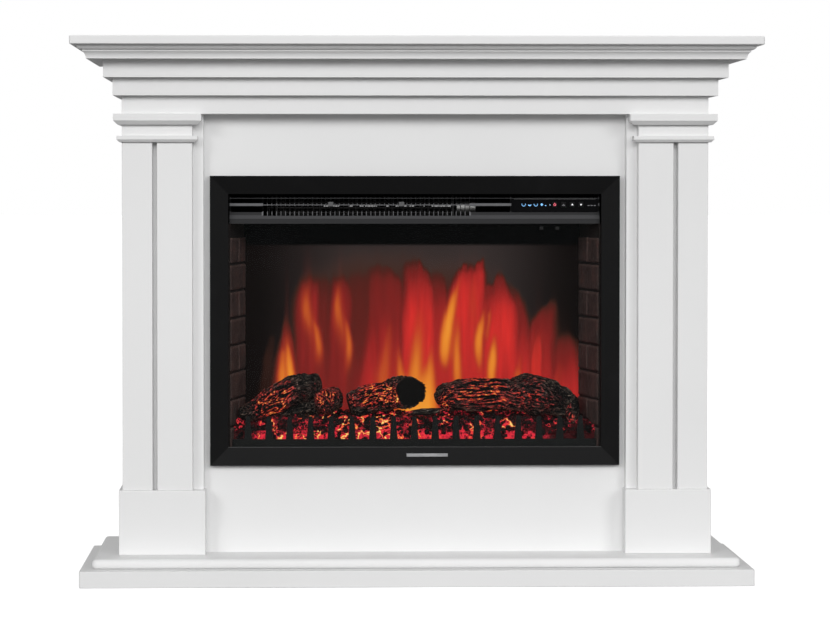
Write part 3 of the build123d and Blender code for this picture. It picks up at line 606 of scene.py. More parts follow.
def brick_tree(courses):
    """Raised bricks in running bond on the local XY plane: whole bricks, then pairs of half bricks."""
    tree = bpy.data.node_groups.new("brick_wall", "GeometryNodeTree")
    for name, kind in (("Length", "Float"), ("Course", "Float"), ("Joint", "Float"), ("Proud", "Float"),
                       ("Seed", "Int"), ("Material", "Material")):
        tree.interface.new_socket(name, in_out="INPUT", socket_type=f"NodeSocket{kind}")
    tree.interface.new_socket("Geometry", in_out="OUTPUT", socket_type="NodeSocketGeometry")
    sheet = Sheet(tree)
    given = sheet.node("NodeGroupInput")
    wide, course, joint, proud, seed, material = (Value(sheet, given.outputs[i]) for i in range(6))
    walls = []
    for first, columns in ((0, 1), (1, 2)):
        rows = (courses - first + 1) // 2
        step = wide / columns
        line = sheet.value(
            "GeometryNodeMeshGrid", None,
            {"Size X": step * (columns - 1), "Size Y": course * (2 * (rows - 1)), "Vertices X": columns,
             "Vertices Y": rows},
        )
        middle = sheet.value(
            "ShaderNodeCombineXYZ", None, {0: wide * 0.5, 1: course * (first + 0.5 + rows - 1), 2: proud * 0.0}
        )
        moved = sheet.value("GeometryNodeSetPosition", None, {"Geometry": line, "Offset": middle})
        size = sheet.value("ShaderNodeCombineXYZ", None, {0: step - joint, 1: course - joint, 2: proud * 2})
        block = sheet.value(
            "GeometryNodeMeshCube", None,
            {"Size": size, "Vertices X": 14 // columns, "Vertices Y": 6, "Vertices Z": 2},
        )
        soft = sheet.value(
            "GeometryNodeSubdivisionSurface", None, {"Mesh": block, "Level": 2, "Edge Crease": 0.55}
        )
        tilt = sheet.value(
            "FunctionNodeRandomValue", {"data_type": "FLOAT_VECTOR"},
            {0: (-0.012, -0.012, -0.008), 1: (0.012, 0.012, 0.008), "Seed": seed + first},
        )
        walls.append(sheet.value(
            "GeometryNodeInstanceOnPoints", None, {"Points": moved, "Instance": soft, "Rotation": tilt}
        ))
    joined = sheet.node("GeometryNodeJoinGeometry")
    for wall in walls:
        tree.links.new(wall.socket, joined.inputs[0])
    real = sheet.value("GeometryNodeRealizeInstances", None, {0: Value(sheet, joined.outputs[0])})
    chips = sheet.value(
        "ShaderNodeTexNoise", {"noise_dimensions": "4D"}, {"W": seed * 3.7, "Scale": 130.0, "Detail": 4.0}
    )
    normal = sheet.value("GeometryNodeInputNormal")
    push = sheet.value(
        "ShaderNodeVectorMath", {"operation": "SCALE"}, {0: normal, "Scale": (chips - 0.5) * 0.0034}
    )
    rough = sheet.value("GeometryNodeSetPosition", None, {"Geometry": real, "Offset": push})
    painted = sheet.value("GeometryNodeSetMaterial", None, {"Geometry": rough, "Material": material})
    sheet.node("NodeGroupOutput", None, {"Geometry": painted})
    return tree


def grown(name, tree, inputs, material, base=None):
    """Runs a Geometry Nodes tree on a base mesh and keeps its result as a plain object."""
    holder = bpy.data.objects.new(name, base or bpy.data.meshes.new(name))
    bpy.context.scene.collection.objects.link(holder)
    modifier = holder.modifiers.new(name, "NODES")
    modifier.node_group = tree
    for item in tree.interface.items_tree:
        if item.in_out == "INPUT" and item.name in inputs:
            modifier[item.identifier] = inputs[item.name]
    return applied(holder, name, material)


def sooty_clay(settings, name, colour, edges=False):
    """Fired clay under soot: grainy, with redder worn patches and, on the bricks, painted highlights along their tops
    and beside their vertical joints.
    """
    finish = Finish(name)
    patches = finish.noise(26.0, 5.0, 0.6)
    grit = finish.noise(420.0, 4.0, 0.7)
    dark = tuple(c * 0.45 for c in colour)
    warm = (min(1.0, colour[0] * 1.7), colour[1] * 1.15, colour[2] * 1.05)
    tone = patches.ramp([(0.30, dark), (0.52, colour), (0.75, warm)])
    if edges:
        # Painted highlights: a paler band along each brick's top and a pale line beside the vertical joints of
        # alternate courses, where light catches them.
        low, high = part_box("brick_panel_left")
        course = (finish.axis("Z") - low[2]) / settings.course
        halves = (course * 0.5).math("FRACT", (course * 0.5)).smooth(0.49, 0.51)
        top = course.math("FRACT", course).smooth(0.84, 0.90)
        end = abs(finish.axis("Y") - (low[1] + high[1]) / 2 - 0.0040).smooth(0.0022, 0.0012) * halves
        tone = finish.mix((top * 0.45 + end).least(1.0), tone, tuple(min(1.0, c * 2.3) for c in colour))
    return finish.done(
        Base_Color=finish.mix(grit.smooth(0.35, 0.75), tone, dark),
        Roughness=0.74 + grit * 0.2,
        Normal=finish.bump(grit, 0.0006),
        Specular_IOR_Level=0.25,
    )


class FIREPLACE_OT_bricks(bpy.types.Operator):
    """Lines both sides of the fire chamber with raised bricks"""
    bl_idname = "fireplace.bricks"
    bl_label = "Brick lining"

    def execute(self, context):
        settings = context.scene.fireplace_bricks
        clay = sooty_clay(settings, "dark_brick", rgb(settings.brick), edges=True)
        mortar = sooty_clay(settings, "sooty_mortar", rgb(settings.mortar))
        for hand, side in (("left", -1), ("right", 1)):
            node = f"brick_panel_{hand}"
            cover(mortar, node)
            low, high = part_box(node)
            inner = sorted((low[0] + side * BRICK_SLAB, high[0] + side * BRICK_SLAB, low[0], high[0]), key=abs)
            back = Vector((inner[0], high[1], low[2]))
            front = Vector((side * (max(abs(low[0]), abs(high[0])) - BRICK_SLAB), low[1], low[2]))
            start, end = (front, back) if side < 0 else (back, front)
            along = (end - start).normalized()
            up = Vector((0, 0, 1))
            frame_turn = Matrix((along, up, along.cross(up))).transposed().to_4x4()
            tree = brick_tree(int((high[2] - low[2]) / settings.course))
            inputs = {
                "Length": (end - start).length, "Course": settings.course, "Joint": settings.joint,
                "Proud": settings.proud, "Seed": settings.seed + side, "Material": clay,
            }
            bricks = grown(f"bricks_{hand}", tree, inputs, clay)
            bricks.data.transform(Matrix.Translation(start) @ frame_turn)
            belongs(bricks)
        return {"FINISHED"}


# ==== Flame picture ==============================================================================
# Each tongue is a list of (across, up, half width, heat) in mm, from the middle of the screen and
# from its lower edge. Bodies make the red fire, streaks lie over it and are hotter.
FLAME_BODIES = (
    ((-165, 96, 38, 0.31), (-175, 180, 28, 0.33), (-176, 250, 26, 0.34), (-172, 280, 22, 0.27), (-168, 304, 15, 0)),
    ((-128, 96, 28, 0.31), (-123, 180, 25, 0.33), (-121, 250, 24, 0.33), (-121, 278, 21, 0.30), (-124, 306, 12, 0)),
    ((-148, 60, 52, 0.30), (-148, 130, 48, 0.28), (-148, 200, 40, 0.24), (-148, 276, 38, 0.23), (-148, 304, 28, 0)),
    ((-92, 60, 34, 0.32), (-92, 130, 32, 0.27), (-92, 200, 30, 0.22), (-88, 286, 32, 0.23), (-86, 312, 24, 0)),
    ((-56, 92, 52, 0.44), (-48, 160, 46, 0.39), (-42, 220, 42, 0.32), (-44, 280, 42, 0.29), (-56, 306, 26, 0.18),
     (-62, 322, 12, 0)),
    ((6, 90, 42, 0.54), (11, 150, 38, 0.55), (12, 220, 35, 0.54), (12, 268, 31, 0.41), (7, 296, 25, 0.31),
     (2, 314, 17, 0.22), (0, 330, 8, 0)),
    ((58, 60, 44, 0.42), (60, 180, 34, 0.32), (56, 250, 30, 0.22), (56, 292, 24, 0)),
    ((95, 90, 58, 0.46), (88, 160, 44, 0.48), (82, 220, 36, 0.50), (94, 270, 32, 0.50), (100, 300, 26, 0.42),
     (101, 318, 17, 0)),
    ((84, 262, 15, 0.42), (86, 286, 10, 0.42), (89, 308, 6, 0.30), (92, 326, 3, 0)),
    ((108, 264, 20, 0.48), (111, 290, 15, 0.44), (114, 310, 9, 0.32), (119, 328, 4, 0)),
    ((150, 90, 60, 0.44), (148, 160, 40, 0.52), (150, 200, 36, 0.55), (153, 240, 33, 0.48), (148, 264, 22, 0.34),
     (149, 288, 8, 0.27), (149, 302, 4, 0)),
    ((186, 90, 30, 0.48), (186, 150, 26, 0.44), (182, 200, 22, 0.34), (174, 244, 20, 0.26), (164, 270, 14, 0.16),
     (156, 288, 7, 0)),
    ((217, 60, 44, 0.46), (214, 130, 38, 0.40), (214, 190, 32, 0.33), (222, 216, 24, 0.28), (237, 240, 11, 0.20),
     (242, 255, 4, 0)),
    ((255, 56, 46, 0.48), (262, 110, 34, 0.42), (262, 150, 30, 0.31), (258, 182, 22, 0.24), (256, 199, 12, 0)),
    ((-213, 60, 26, 0.40), (-213, 140, 21, 0.36), (-212, 180, 13, 0.30), (-212, 208, 7, 0.22), (-212, 226, 4, 0)),
    ((-248, 84, 14, 0.07), (-243, 150, 10, 0.10), (-237, 186, 6, 0.07), (-235, 200, 4, 0)),
    ((-70, 60, 120, 0.20), (-70, 180, 112, 0.19), (-66, 260, 104, 0.18), (-56, 305, 92, 0.13), (-40, 345, 70, 0)),
    ((110, 60, 140, 0.20), (108, 160, 112, 0.19), (92, 240, 84, 0.18), (82, 290, 62, 0.14), (86, 330, 40, 0)),
    ((212, 96, 15, 0.56), (212, 146, 13, 0.53), (213, 176, 10, 0.46), (214, 196, 6, 0.32), (216, 212, 3, 0)),
    ((128, 200, 22, 0.40), (130, 240, 18, 0.40), (130, 270, 14, 0.30), (130, 290, 8, 0)),
    ((52, 60, 30, 0.44), (50, 200, 24, 0.42), (46, 250, 20, 0.34), (44, 292, 16, 0.20), (44, 312, 8, 0)),
)
FLAME_STREAKS = (
    ((-213, 60, 24, 0.46), (-213, 110, 21, 0.46), (-213, 150, 16, 0.40), (-212, 184, 9, 0.28), (-212, 202, 5, 0)),
    ((-202, 60, 11, 0.70), (-203, 112, 9, 0.72), (-207, 144, 7, 0.54), (-211, 170, 5, 0.22), (-212, 182, 3, 0)),
    ((-224, 60, 9, 0.40), (-222, 120, 8, 0.40), (-221, 156, 6, 0.24), (-221, 176, 4, 0)),
    ((-160, 140, 18, 0), (-169, 192, 17, 0.24), (-178, 228, 13, 0.52), (-181, 262, 11, 0.36), (-178, 290, 8, 0)),
    ((-158, 132, 8, 0), (-157, 158, 8, 0.36), (-157, 180, 7, 0.46), (-161, 205, 5, 0.28), (-164, 219, 3, 0)),
    ((-114, 150, 16, 0), (-120, 196, 14, 0.34), (-127, 234, 11, 0.52), (-125, 264, 8, 0.36), (-122, 290, 5, 0)),
    ((-109, 122, 8, 0), (-106, 156, 8, 0.44), (-106, 182, 7, 0.50), (-110, 210, 5, 0.22), (-113, 222, 3, 0)),
    ((-44, 70, 26, 0.46), (-52, 118, 18, 0.42), (-42, 166, 11, 0.36), (-37, 204, 6, 0.20), (-37, 220, 4, 0)),
    ((-12, 70, 18, 0.66), (-17, 112, 12, 0.60), (-22, 142, 9, 0.46), (-25, 168, 5, 0.20), (-26, 180, 3, 0)),
    ((6, 66, 22, 0.72), (5, 116, 18, 0.68), (7, 152, 15, 0.60), (10, 188, 13, 0.44), (13, 228, 9, 0.18), (13, 250, 5, 0)),
    ((27, 50, 27, 0.84), (27, 100, 18, 0.72), (31, 140, 10, 0.56), (33, 174, 5, 0.24), (33, 188, 3, 0)),
    ((56, 126, 7, 0), (55, 144, 11, 0.52), (55, 165, 13, 0.72), (58, 194, 13, 0.80), (63, 226, 12, 0.76),
     (70, 254, 10, 0.58), (78, 276, 7, 0.30), (84, 294, 5, 0)),
    ((77, 74, 12, 0.50), (77, 116, 11, 0.58), (75, 155, 10, 0.64), (76, 190, 8, 0.48), (78, 218, 5, 0.22), (79, 230, 4, 0)),
    ((103, 186, 8, 0), (103, 220, 9, 0.20), (103, 252, 9, 0.24), (105, 286, 6, 0.14), (106, 302, 4, 0)),
    ((115, 122, 6, 0), (114, 144, 9, 0.44), (112, 176, 10, 0.76), (115, 208, 9, 0.62), (122, 232, 5, 0.24), (124, 242, 3, 0)),
    ((126, 172, 4, 0), (127, 194, 5, 0.34), (130, 224, 5, 0.38), (132, 240, 4, 0)),
    ((133, 74, 11, 0.48), (135, 126, 11, 0.74), (137, 162, 9, 0.74), (139, 188, 6, 0.30), (140, 199, 4, 0)),
    ((204, 70, 15, 0.10), (210, 132, 14, 0.14), (212, 176, 13, 0.14), (213, 194, 12, 0.08), (214, 206, 10, 0)),
    ((176, 74, 11, 0.46), (180, 122, 9, 0.42), (184, 150, 5, 0.20), (186, 161, 4, 0)),
    ((244, 50, 18, 0.22), (246, 100, 11, 0.18), (252, 136, 5, 0.12), (253, 147, 4, 0)),
)
HALF_WIDTH_SCALE = 100.0


def tongue(x, height, points, wide, tall, core):
    """How hot one tongue is at a place: its middle, half width and heat are read off a ramp by height."""
    stops = [
        (up / tall, (0.5 + across / wide, half / HALF_WIDTH_SCALE, heat)) for across, up, half, heat in points
    ]
    shape = height.ramp(stops, "B_SPLINE" if len(points) > 4 else "EASE")
    sheet = x.sheet
    split = sheet.node("ShaderNodeSeparateColor", None, {0: shape})
    middle, half, heat = (Value(sheet, split.outputs[i]) for i in range(3))
    off = abs(x - middle) * (wide / HALF_WIDTH_SCALE) / half.most(0.005)
    return off.smooth(1.45, core) * heat


class FIREPLACE_OT_flame_picture(bpy.types.Operator):
    """Paints the back-lit flames and smoke on the screen"""
    bl_idname = "fireplace.flame_picture"
    bl_label = "Flame picture"

    def execute(self, context):
        settings = context.scene.fireplace_flames
        low, high = SCREEN_BOX
        wide = (high[0] - low[0]) / MM
        tall = (high[2] - low[2]) / MM
        finish = Finish("flame_diffuser")
        x, y, z = (finish.axis(letter) for letter in "XYZ")
        waver = finish.noise(1.0, 2.0, 0.5, finish.stretched((26.0, 1.0, 11.0)))
        feather = finish.noise(1.0, 3.0, 0.6, finish.stretched((62.0, 1.0, 7.0)))
        up = (z - low[2]) / (high[2] - low[2]) + (feather - 0.5) * settings.feather
        across = (x + (waver - 0.5) * settings.sway - low[0]) / (high[0] - low[0])
        fire = None
        for points in FLAME_BODIES:
            one = tongue(across, up, points, wide, tall, 0.40)
            fire = one if fire is None else finish.value(
                "ShaderNodeMath", {"operation": "SMOOTH_MAX"}, {0: fire, 1: one, 2: 0.04}
            )
        cool = None
        for points in FLAME_STREAKS:
            one = 1.0 - tongue(across, up, points, wide, tall, 0.05)
            cool = one if cool is None else cool * one
        threads = finish.noise(1.0, 3.0, 0.55, finish.stretched((75.0, 1.0, 8.0)))
        fire = (fire - 0.02).most(0.0) * (0.78 + threads * 0.48)
        hot = (1.0 - cool) * (0.90 + threads * 0.20)
        red = fire.ramp([
            (0.00, (0.0, 0.0, 0.0)), (0.10, (0.030, 0.009, 0.005)), (0.18, (0.080, 0.013, 0.009)),
            (0.30, (0.205, 0.0140, 0.0120)), (0.42, (0.420, 0.0200, 0.0180)), (0.54, (0.680, 0.027, 0.022)),
            (0.75, (0.800, 0.070, 0.030)),
        ])
        gold = hot.ramp([
            (0.00, (0.300, 0.020, 0.013)), (0.30, (0.480, 0.055, 0.016)), (0.52, (0.640, 0.125, 0.018)),
            (0.76, (0.850, 0.270, 0.026)), (0.95, (0.930, 0.420, 0.050)),
        ])
        colour = finish.mix((hot * 1.9).least(1.0) ** 1.1, red, gold)
        drift = finish.noise(1.0, 2.0, 0.5, finish.stretched((7.0, 1.0, 5.0)))
        middle = abs(x - 0.005).smooth(0.275, 0.09)
        warm = abs(x + 0.04).smooth(0.20, 0.03) * z.smooth(0.56, 0.46)
        haze = (0.04 + middle * 0.96) * (0.75 + drift * 0.5) * fire.smooth(0.20, 0.0)
        smoke = finish.mix(warm, rgb(settings.smoke), (0.056, 0.031, 0.025))
        smoke = finish.mix(1.0, smoke, finish.value("ShaderNodeCombineColor", None, {0: haze, 1: haze, 2: haze}),
                           "MULTIPLY")
        picture = finish.mix(1.0, colour, smoke, "ADD")
        shown = z.smooth(settings.hood + 0.003, settings.hood - 0.003) * y.smooth(low[1] + 0.0010, low[1] + 0.0002)
        mask = finish.value("ShaderNodeCombineColor", None, {0: shown, 1: shown, 2: shown})
        screen = finish.done(
            Base_Color=finish.mix(drift, (0.0004, 0.0004, 0.0004), (0.0012, 0.0012, 0.0012)),
            Roughness=0.7 + drift * 0.2, Specular_IOR_Level=0.03,
            Emission_Color=finish.mix(1.0, picture, mask, "MULTIPLY"), Emission_Strength=settings.glow,
        )
        cover(screen, "flame_screen")
        return {"FINISHED"}


# ==== Logs =======================================================================================
# Each log: points of its heart line as (x, y, z, radius) in mm, how far its two sawn ends are
# slanted or "round" for broken ends, how long its bark's ridges are for their width, and the
# places where it glows as (x, z, reach, heat) in mm.
LOGS = {
    "log_left": (
        ((-285, -8, 268, 12), (-262, -5, 277, 17), (-236, -1, 289, 21), (-206, 9, 305, 23), (-180, 16, 311, 23),
         (-164, 20, 311, 20)),
        "round", 2.2,
        ((-254, 288, 24, 0.70), (-236, 280, 18, 0.95), (-226, 294, 20, 0.90), (-210, 312, 16, 0.60),
         (-183, 300, 9, 0.30), (-166, 314, 9, 0.45)),
    ),
    "log_stub": (
        ((-144, -8, 287, 18), (-144, 2, 288, 21), (-142, 14, 289, 22), (-138, 30, 290, 21)),
        "round", 1.6,
        ((-146, 296, 16, 0.95), (-136, 298, 12, 0.55), (-156, 292, 10, 0.55), (-148, 272, 9, 0.35)),
    ),
    "log_centre": (
        ((-108, 13, 281, 17), (-98, 12, 284, 21), (-70, 9, 292, 23), (-40, 4, 298, 25), (-16, -2, 304, 26),
         (-5, -5, 305, 25)),
        (0.2, -0.86), 2.6,
        ((-104, 290, 12, 0.70), (-76, 304, 18, 0.95), (-50, 305, 18, 1.00), (-34, 298, 15, 0.95), (-62, 284, 16, 0.30),
         (-80, 290, 12, 0.65), (-24, 290, 10, 0.40), (-30, 322, 12, 0.20)),
    ),
    "log_right": (
        ((46, 4, 291, 17), (58, 5, 296, 23), (95, 8, 299, 26), (140, 9, 300, 26), (165, 10, 298, 27),
         (192, 11, 299, 33), (214, 11, 296, 33), (236, 12, 289, 27), (258, 12, 283, 21), (269, 12, 280, 15)),
        "round", 4.2,
        ((50, 286, 13, 1.00), (62, 304, 14, 0.75), (88, 298, 20, 0.70), (112, 304, 22, 0.80), (146, 298, 26, 0.72),
         (190, 298, 26, 0.62), (126, 322, 18, 0.55), (96, 322, 14, 0.50), (205, 318, 16, 0.40), (230, 288, 18, 0.50)),
    ),
    "log_char": (
        ((262, -4, 244, 6), (263, -2, 254, 10), (265, 0, 272, 12), (266, 3, 288, 10), (267, 5, 297, 5)),
        "round", 2.0,
        ((262, 262, 9, 0.85), (258, 282, 8, 0.70)),
    ),
    "log_twig": (
        ((-14, -14, 268, 3), (4, -13, 271, 5), (28, -14, 273, 5), (46, -14, 275, 4), (55, -14, 277, 2.4)),
        "round", 2.4,
        ((-10, 272, 8, 0.90), (50, 275, 8, 0.95)),
    ),
    "log_root": (
        ((-226, 24, 266, 10), (-208, 25, 271, 14), (-186, 26, 276, 16), (-168, 26, 278, 15), (-154, 24, 276, 10)),
        "round", 2.0,
        ((-160, 282, 8, 0.25),),
    ),
}
CAP_RINGS = 14
EDGE_SHARE = 0.16
DOME = 0.55


def along_curve(points, t):
    """A smooth curve through the points, which are tuples of any length, at t from 0 to 1."""
    spans = len(points) - 1
    where = min(t * spans, spans - 1e-6)
    i = int(where)
    u = where - i
    p0, p1, p2, p3 = (points[min(max(k, 0), spans)] for k in (i - 1, i, i + 1, i + 2))
    return [
        0.5 * (2 * b + (c - a) * u + (2 * a - 5 * b + 4 * c - d) * u * u + (3 * b - a - 3 * c + d) * u ** 3)
        for a, b, c, d in zip(p0, p1, p2, p3)
    ]


def bark_height(along, around_x, around_z, grain, stretch, seed):
    """The bark's height, from 0 in a crack to 1 on a ridge. The grain runs along the log."""
    spot = Vector((along / (grain * stretch), around_x / grain, around_z / grain + seed * 7.0))
    bend = noise.noise_vector(spot * 0.45) * 1.1
    spot += Vector((bend.x, bend.y * 0.8, bend.z * 0.8))
    ridge = 1.0 - min(1.0, 2.0 * abs(noise.noise(spot)))
    second = 1.0 - min(1.0, 2.4 * abs(noise.noise(spot * 1.9 + Vector((5.0, 17.0, 3.0)))))
    split = 1.0 - min(1.0, 3.2 * abs(noise.noise(Vector((spot.x * 2.6, spot.y * 0.8, spot.z * 0.8 + 31)))))
    fine = noise.noise(spot * 3.1)
    return max(0.0, min(1.0, 0.48 * ridge + 0.46 * second * (0.4 + 0.6 * ridge) + 0.14 * split + 0.18 * fine))


def log_mesh(points, ends, stretch, glows, settings, seed):
    """A closed tube round the heart line, with lumps, bark ridges and flat sawn or domed ends."""
    domed = ends == "round"
    slants = (0.0, 0.0) if domed else ends
    points = [tuple(value * MM for value in point) for point in points]
    reach = (Vector(points[-1][:3]) - Vector(points[0][:3])).length
    rings = max(24, int(reach / 0.00075))
    sides = max(40, min(210, int(2 * pi * max(p[3] for p in points) / 0.00085)))
    stations = [(0.0, k / CAP_RINGS) for k in range(1, CAP_RINGS)]
    stations += [(i / rings, 1.0) for i in range(rings + 1)]
    stations += [(1.0, k / CAP_RINGS) for k in range(CAP_RINGS - 1, 0, -1)]
    verts, ridges, heats = [], [], []
    up = Vector((0.05, 0.1, 1.0)).normalized()
    for t, open_share in stations:
        x, y, z, radius = along_curve(points, t)
        ahead = Vector(along_curve(points, min(1.0, t + 0.02))[:3])
        behind = Vector(along_curve(points, max(0.0, t - 0.02))[:3])
        heading = (ahead - behind).normalized()
        across = heading.cross(up).normalized()
        rise = across.cross(heading)
        slant = slants[0] * (1 - t) ** 3 + slants[1] * t ** 3
        inward = min(1.0, min(t, 1 - t) * reach / (radius * EDGE_SHARE))
        rounded = 1.0 if domed else 0.90 + 0.10 * (1 - (1 - inward) ** 2) ** 0.5
        outward = 1 if t > 0.5 else -1
        dome = DOME * radius * (1 - open_share ** 2) ** 0.5 if domed else 0.0
        sawn = 0.0 if domed else 1.0 - open_share
        for j in range(sides):
            angle = 2 * pi * j / sides
            a, b = cos(angle), sin(angle)
            station = t * reach + dome * outward
            skin = radius * open_share if domed else radius
            height = bark_height(station, a * skin, b * skin, settings.grain, stretch, seed)
            wave = noise.noise(Vector((station * 38, a * 1.3, b * 1.3 + seed)))
            wave += 0.5 * noise.noise(Vector((station * 95, a * 2.2, b * 2.2 + seed + 9)))
            size = radius / 0.022
            grown_radius = radius * rounded + (settings.lump * wave + settings.ridge * (height - 0.6)) * min(1.0, size)
            spread = grown_radius * open_share
            rough = 0.0012 * noise.noise(Vector((a * spread * 260, b * spread * 260, seed))) * sawn
            sideways = a * spread
            push = slant * sideways + (rough + dome) * outward
            point = Vector((x, y, z)) + across * sideways + rise * (b * spread) + heading * push
            verts.append(point)
            ridges.append(height if sawn == 0 else 0.12)
            warmth = sum(
                heat * exp(-(((point.x / MM - gx) ** 2 + (point.z / MM - gz) ** 2) / (far * far)))
                for gx, gz, far, heat in glows
            )
            heats.append(min(1.0, warmth) * (1.0 if sawn == 0 else 0.05))
    faces = []
    count = len(stations)
    for i in range(count - 1):
        for j in range(sides):
            k = (j + 1) % sides
            faces.append((i * sides + j, (i + 1) * sides + j, (i + 1) * sides + k, i * sides + k))
    for ring, order in ((0, 1), (count - 1, -1)):
        rim = range(ring * sides, (ring + 1) * sides)
        middle = sum((verts[i] for i in rim), Vector()) / sides
        verts.append(middle)
        ridges.append(0.12)
        heats.append(0.0)
        hub = len(verts) - 1
        for j in range(sides):
            pair = (rim[j], rim[(j + 1) % sides])
            faces.append((hub, *pair) if order > 0 else (hub, pair[1], pair[0]))
    mesh = mesh_from(verts, faces, bark=ridges, warmth=heats)
    return facing_out(mesh)


def facing_out(mesh):
    sketch = bmesh.new()
    sketch.from_mesh(mesh)
    bmesh.ops.remove_doubles(sketch, verts=sketch.verts, dist=1e-6)
    bmesh.ops.recalc_face_normals(sketch, faces=sketch.faces)
    sketch.to_mesh(mesh)
    sketch.free()
    return mesh


HOT_STOPS = [
    (0.00, (0.0, 0.0, 0.0)), (0.22, (0.02, 0.001, 0.002)), (0.36, (0.30, 0.010, 0.020)),
    (0.47, (0.70, 0.018, 0.045)), (0.62, (0.82, 0.036, 0.040)), (0.74, (0.92, 0.120, 0.030)),
    (0.86, (0.97, 0.330, 0.036)), (1.00, (1.00, 0.720, 0.200)),
]


BARK_STOPS = [
    (0.00, (0.0, 0.0, 0.0)), (0.20, (0.02, 0.002, 0.002)), (0.36, (0.22, 0.012, 0.014)),
    (0.48, (0.50, 0.020, 0.016)), (0.62, (0.70, 0.044, 0.018)), (0.76, (0.84, 0.110, 0.020)),
    (0.88, (0.94, 0.290, 0.030)), (1.00, (1.00, 0.620, 0.140)),
]


def charred_log(settings):
    """Charred bark: black cracks, grey-brown ridges with a burnt gloss, painted highlights on the ridges' tops, and
    ridges lit from within.
    """
    finish = Finish("charred_log")
    bark = finish.attribute("bark")
    heat = finish.attribute("warmth")
    patches = finish.noise(55.0, 4.0, 0.6)
    fine = finish.noise(600.0, 3.0, 0.6)
    flicker = finish.noise(150.0, 3.0, 0.6).smooth(0.36, 0.66)
    char, crest = rgb(settings.char), rgb(settings.bark)
    # The palest colour, on the ridges' tops, is a painted highlight.
    painted_ridge_highlight = tuple(min(1.0, c * 4.5) for c in crest)
    veins = abs(finish.noise(1.0, 3.0, 0.6, finish.stretched((170.0, 300.0, 330.0))) - 0.5)
    wood = bark.ramp([(0.34, char), (0.56, tuple(c * 0.35 for c in crest)), (0.76, crest), (0.95, painted_ridge_highlight)])
    ridges = bark.smooth(0.44, 0.86)
    lit = heat * (ridges * (0.30 + flicker * 0.72) + veins.smooth(0.034, 0.0) * bark.smooth(0.25, 0.55) * 0.40)
    return finish.done(
        Base_Color=finish.mix(patches.smooth(0.34, 0.62) * (1.0 - heat * 0.85), char, wood),
        Roughness=(0.92 - bark.smooth(0.2, 0.9) * 0.62 + fine * 0.12).least(1.0),
        Normal=finish.bump(fine, 0.0005),
        Emission_Color=lit.ramp(BARK_STOPS),
        Emission_Strength=settings.glow,
        Specular_IOR_Level=0.13,
    )


class FIREPLACE_OT_logs(bpy.types.Operator):
    """Makes the charred logs with their bark"""
    bl_idname = "fireplace.logs"
    bl_label = "Logs"

    def execute(self, context):
        settings = context.scene.fireplace_logs
        material = charred_log(settings)
        for seed, (name, (points, ends, stretch, glows)) in enumerate(LOGS.items()):
            bark = add_mesh(f"{name}_bark", log_mesh(points, ends, stretch, glows, settings, seed + 1.0), material)
            belongs(bark)
            if name in frame["nodes"]:
                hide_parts(name)
                cover(material, name)
        return {"FINISHED"}


# ==== Ember bed ==================================================================================
BED_STEP = 0.0016


def bed_profile():
    """The ember bed's section as (y, z): up its front face, then sloping back under the logs."""
    low, high = BED_BOX
    brow = high[2] - 0.028
    turn = (0.0, high[2] - 0.008)
    return [(low[1], low[2] + 0.001), (low[1], brow), turn, (high[1] - 0.001, high[2])]


def glowing_embers(settings):
    """Translucent embers lit from below: crimson with orange and yellow spots between dark crusts."""
    finish = Finish("glowing_embers")
    heat = finish.attribute("warmth")
    cells = finish.value(
        "ShaderNodeTexVoronoi", {"feature": "DISTANCE_TO_EDGE"},
        {"Vector": finish.place, "Scale": 150.0, "Randomness": 1.0},
    )
    blotch = finish.noise(75.0, 4.0, 0.6)
    fine = finish.noise(420.0, 4.0, 0.65)
    z = finish.axis("Z")
    rise = z.smooth(BED_BOX[1][2] - 0.030, BED_BOX[1][2] - 0.024)
    crust = (blotch + rise * 0.06).smooth(0.50, 0.58)
    flow = abs(finish.noise(44.0, 3.0, 0.55) - 0.5).smooth(0.040, 0.0)
    lit = heat * (0.40 + cells.smooth(0.18, 0.0) * 0.20 + fine * 0.46) * (1.0 - crust * 0.96)
    streaked = (finish.axis("X").smooth(0.04, -0.04) + rise).least(1.0) * 0.75 + 0.25
    lit = lit + flow * (0.20 + rise * 0.16 + fine * 0.85) * heat.smooth(0.30, 0.62) * streaked
    return finish.done(
        Base_Color=finish.mix(crust, (0.05, 0.005, 0.006), (0.003, 0.003, 0.003)),
        Roughness=0.55 + fine * 0.25, Specular_IOR_Level=0.12,
        Normal=finish.bump(fine + cells.smooth(0.0, 0.3) * 0.5, 0.0010),
        Emission_Color=lit.ramp(HOT_STOPS),
        Emission_Strength=settings.glow,
    )


def ember_coal(settings):
    """A loose coal: black crust with glowing cracks."""
    finish = Finish("ember_coal")
    cracks = finish.value(
        "ShaderNodeTexVoronoi", {"feature": "DISTANCE_TO_EDGE"}, {"Vector": finish.place, "Scale": 210.0},
    ).smooth(0.16, 0.0)
    spread = finish.noise(30.0, 3.0, 0.6).smooth(0.40, 0.66)
    fine = finish.noise(500.0, 4.0, 0.65)
    z = finish.axis("Z")
    lower = z.smooth(BED_BOX[1][2] + 0.012, BED_BOX[1][2] - 0.020)
    lit = (cracks * 0.62 + fine * 0.16) * spread * (0.20 + lower * 0.80)
    return finish.done(
        Base_Color=finish.mix(fine, (0.002, 0.0018, 0.0018), (0.012, 0.009, 0.008)),
        Roughness=0.55 + fine * 0.3, Specular_IOR_Level=0.12,
        Normal=finish.bump(fine, 0.0008),
        Emission_Color=lit.ramp(HOT_STOPS),
        Emission_Strength=settings.glow,
    )


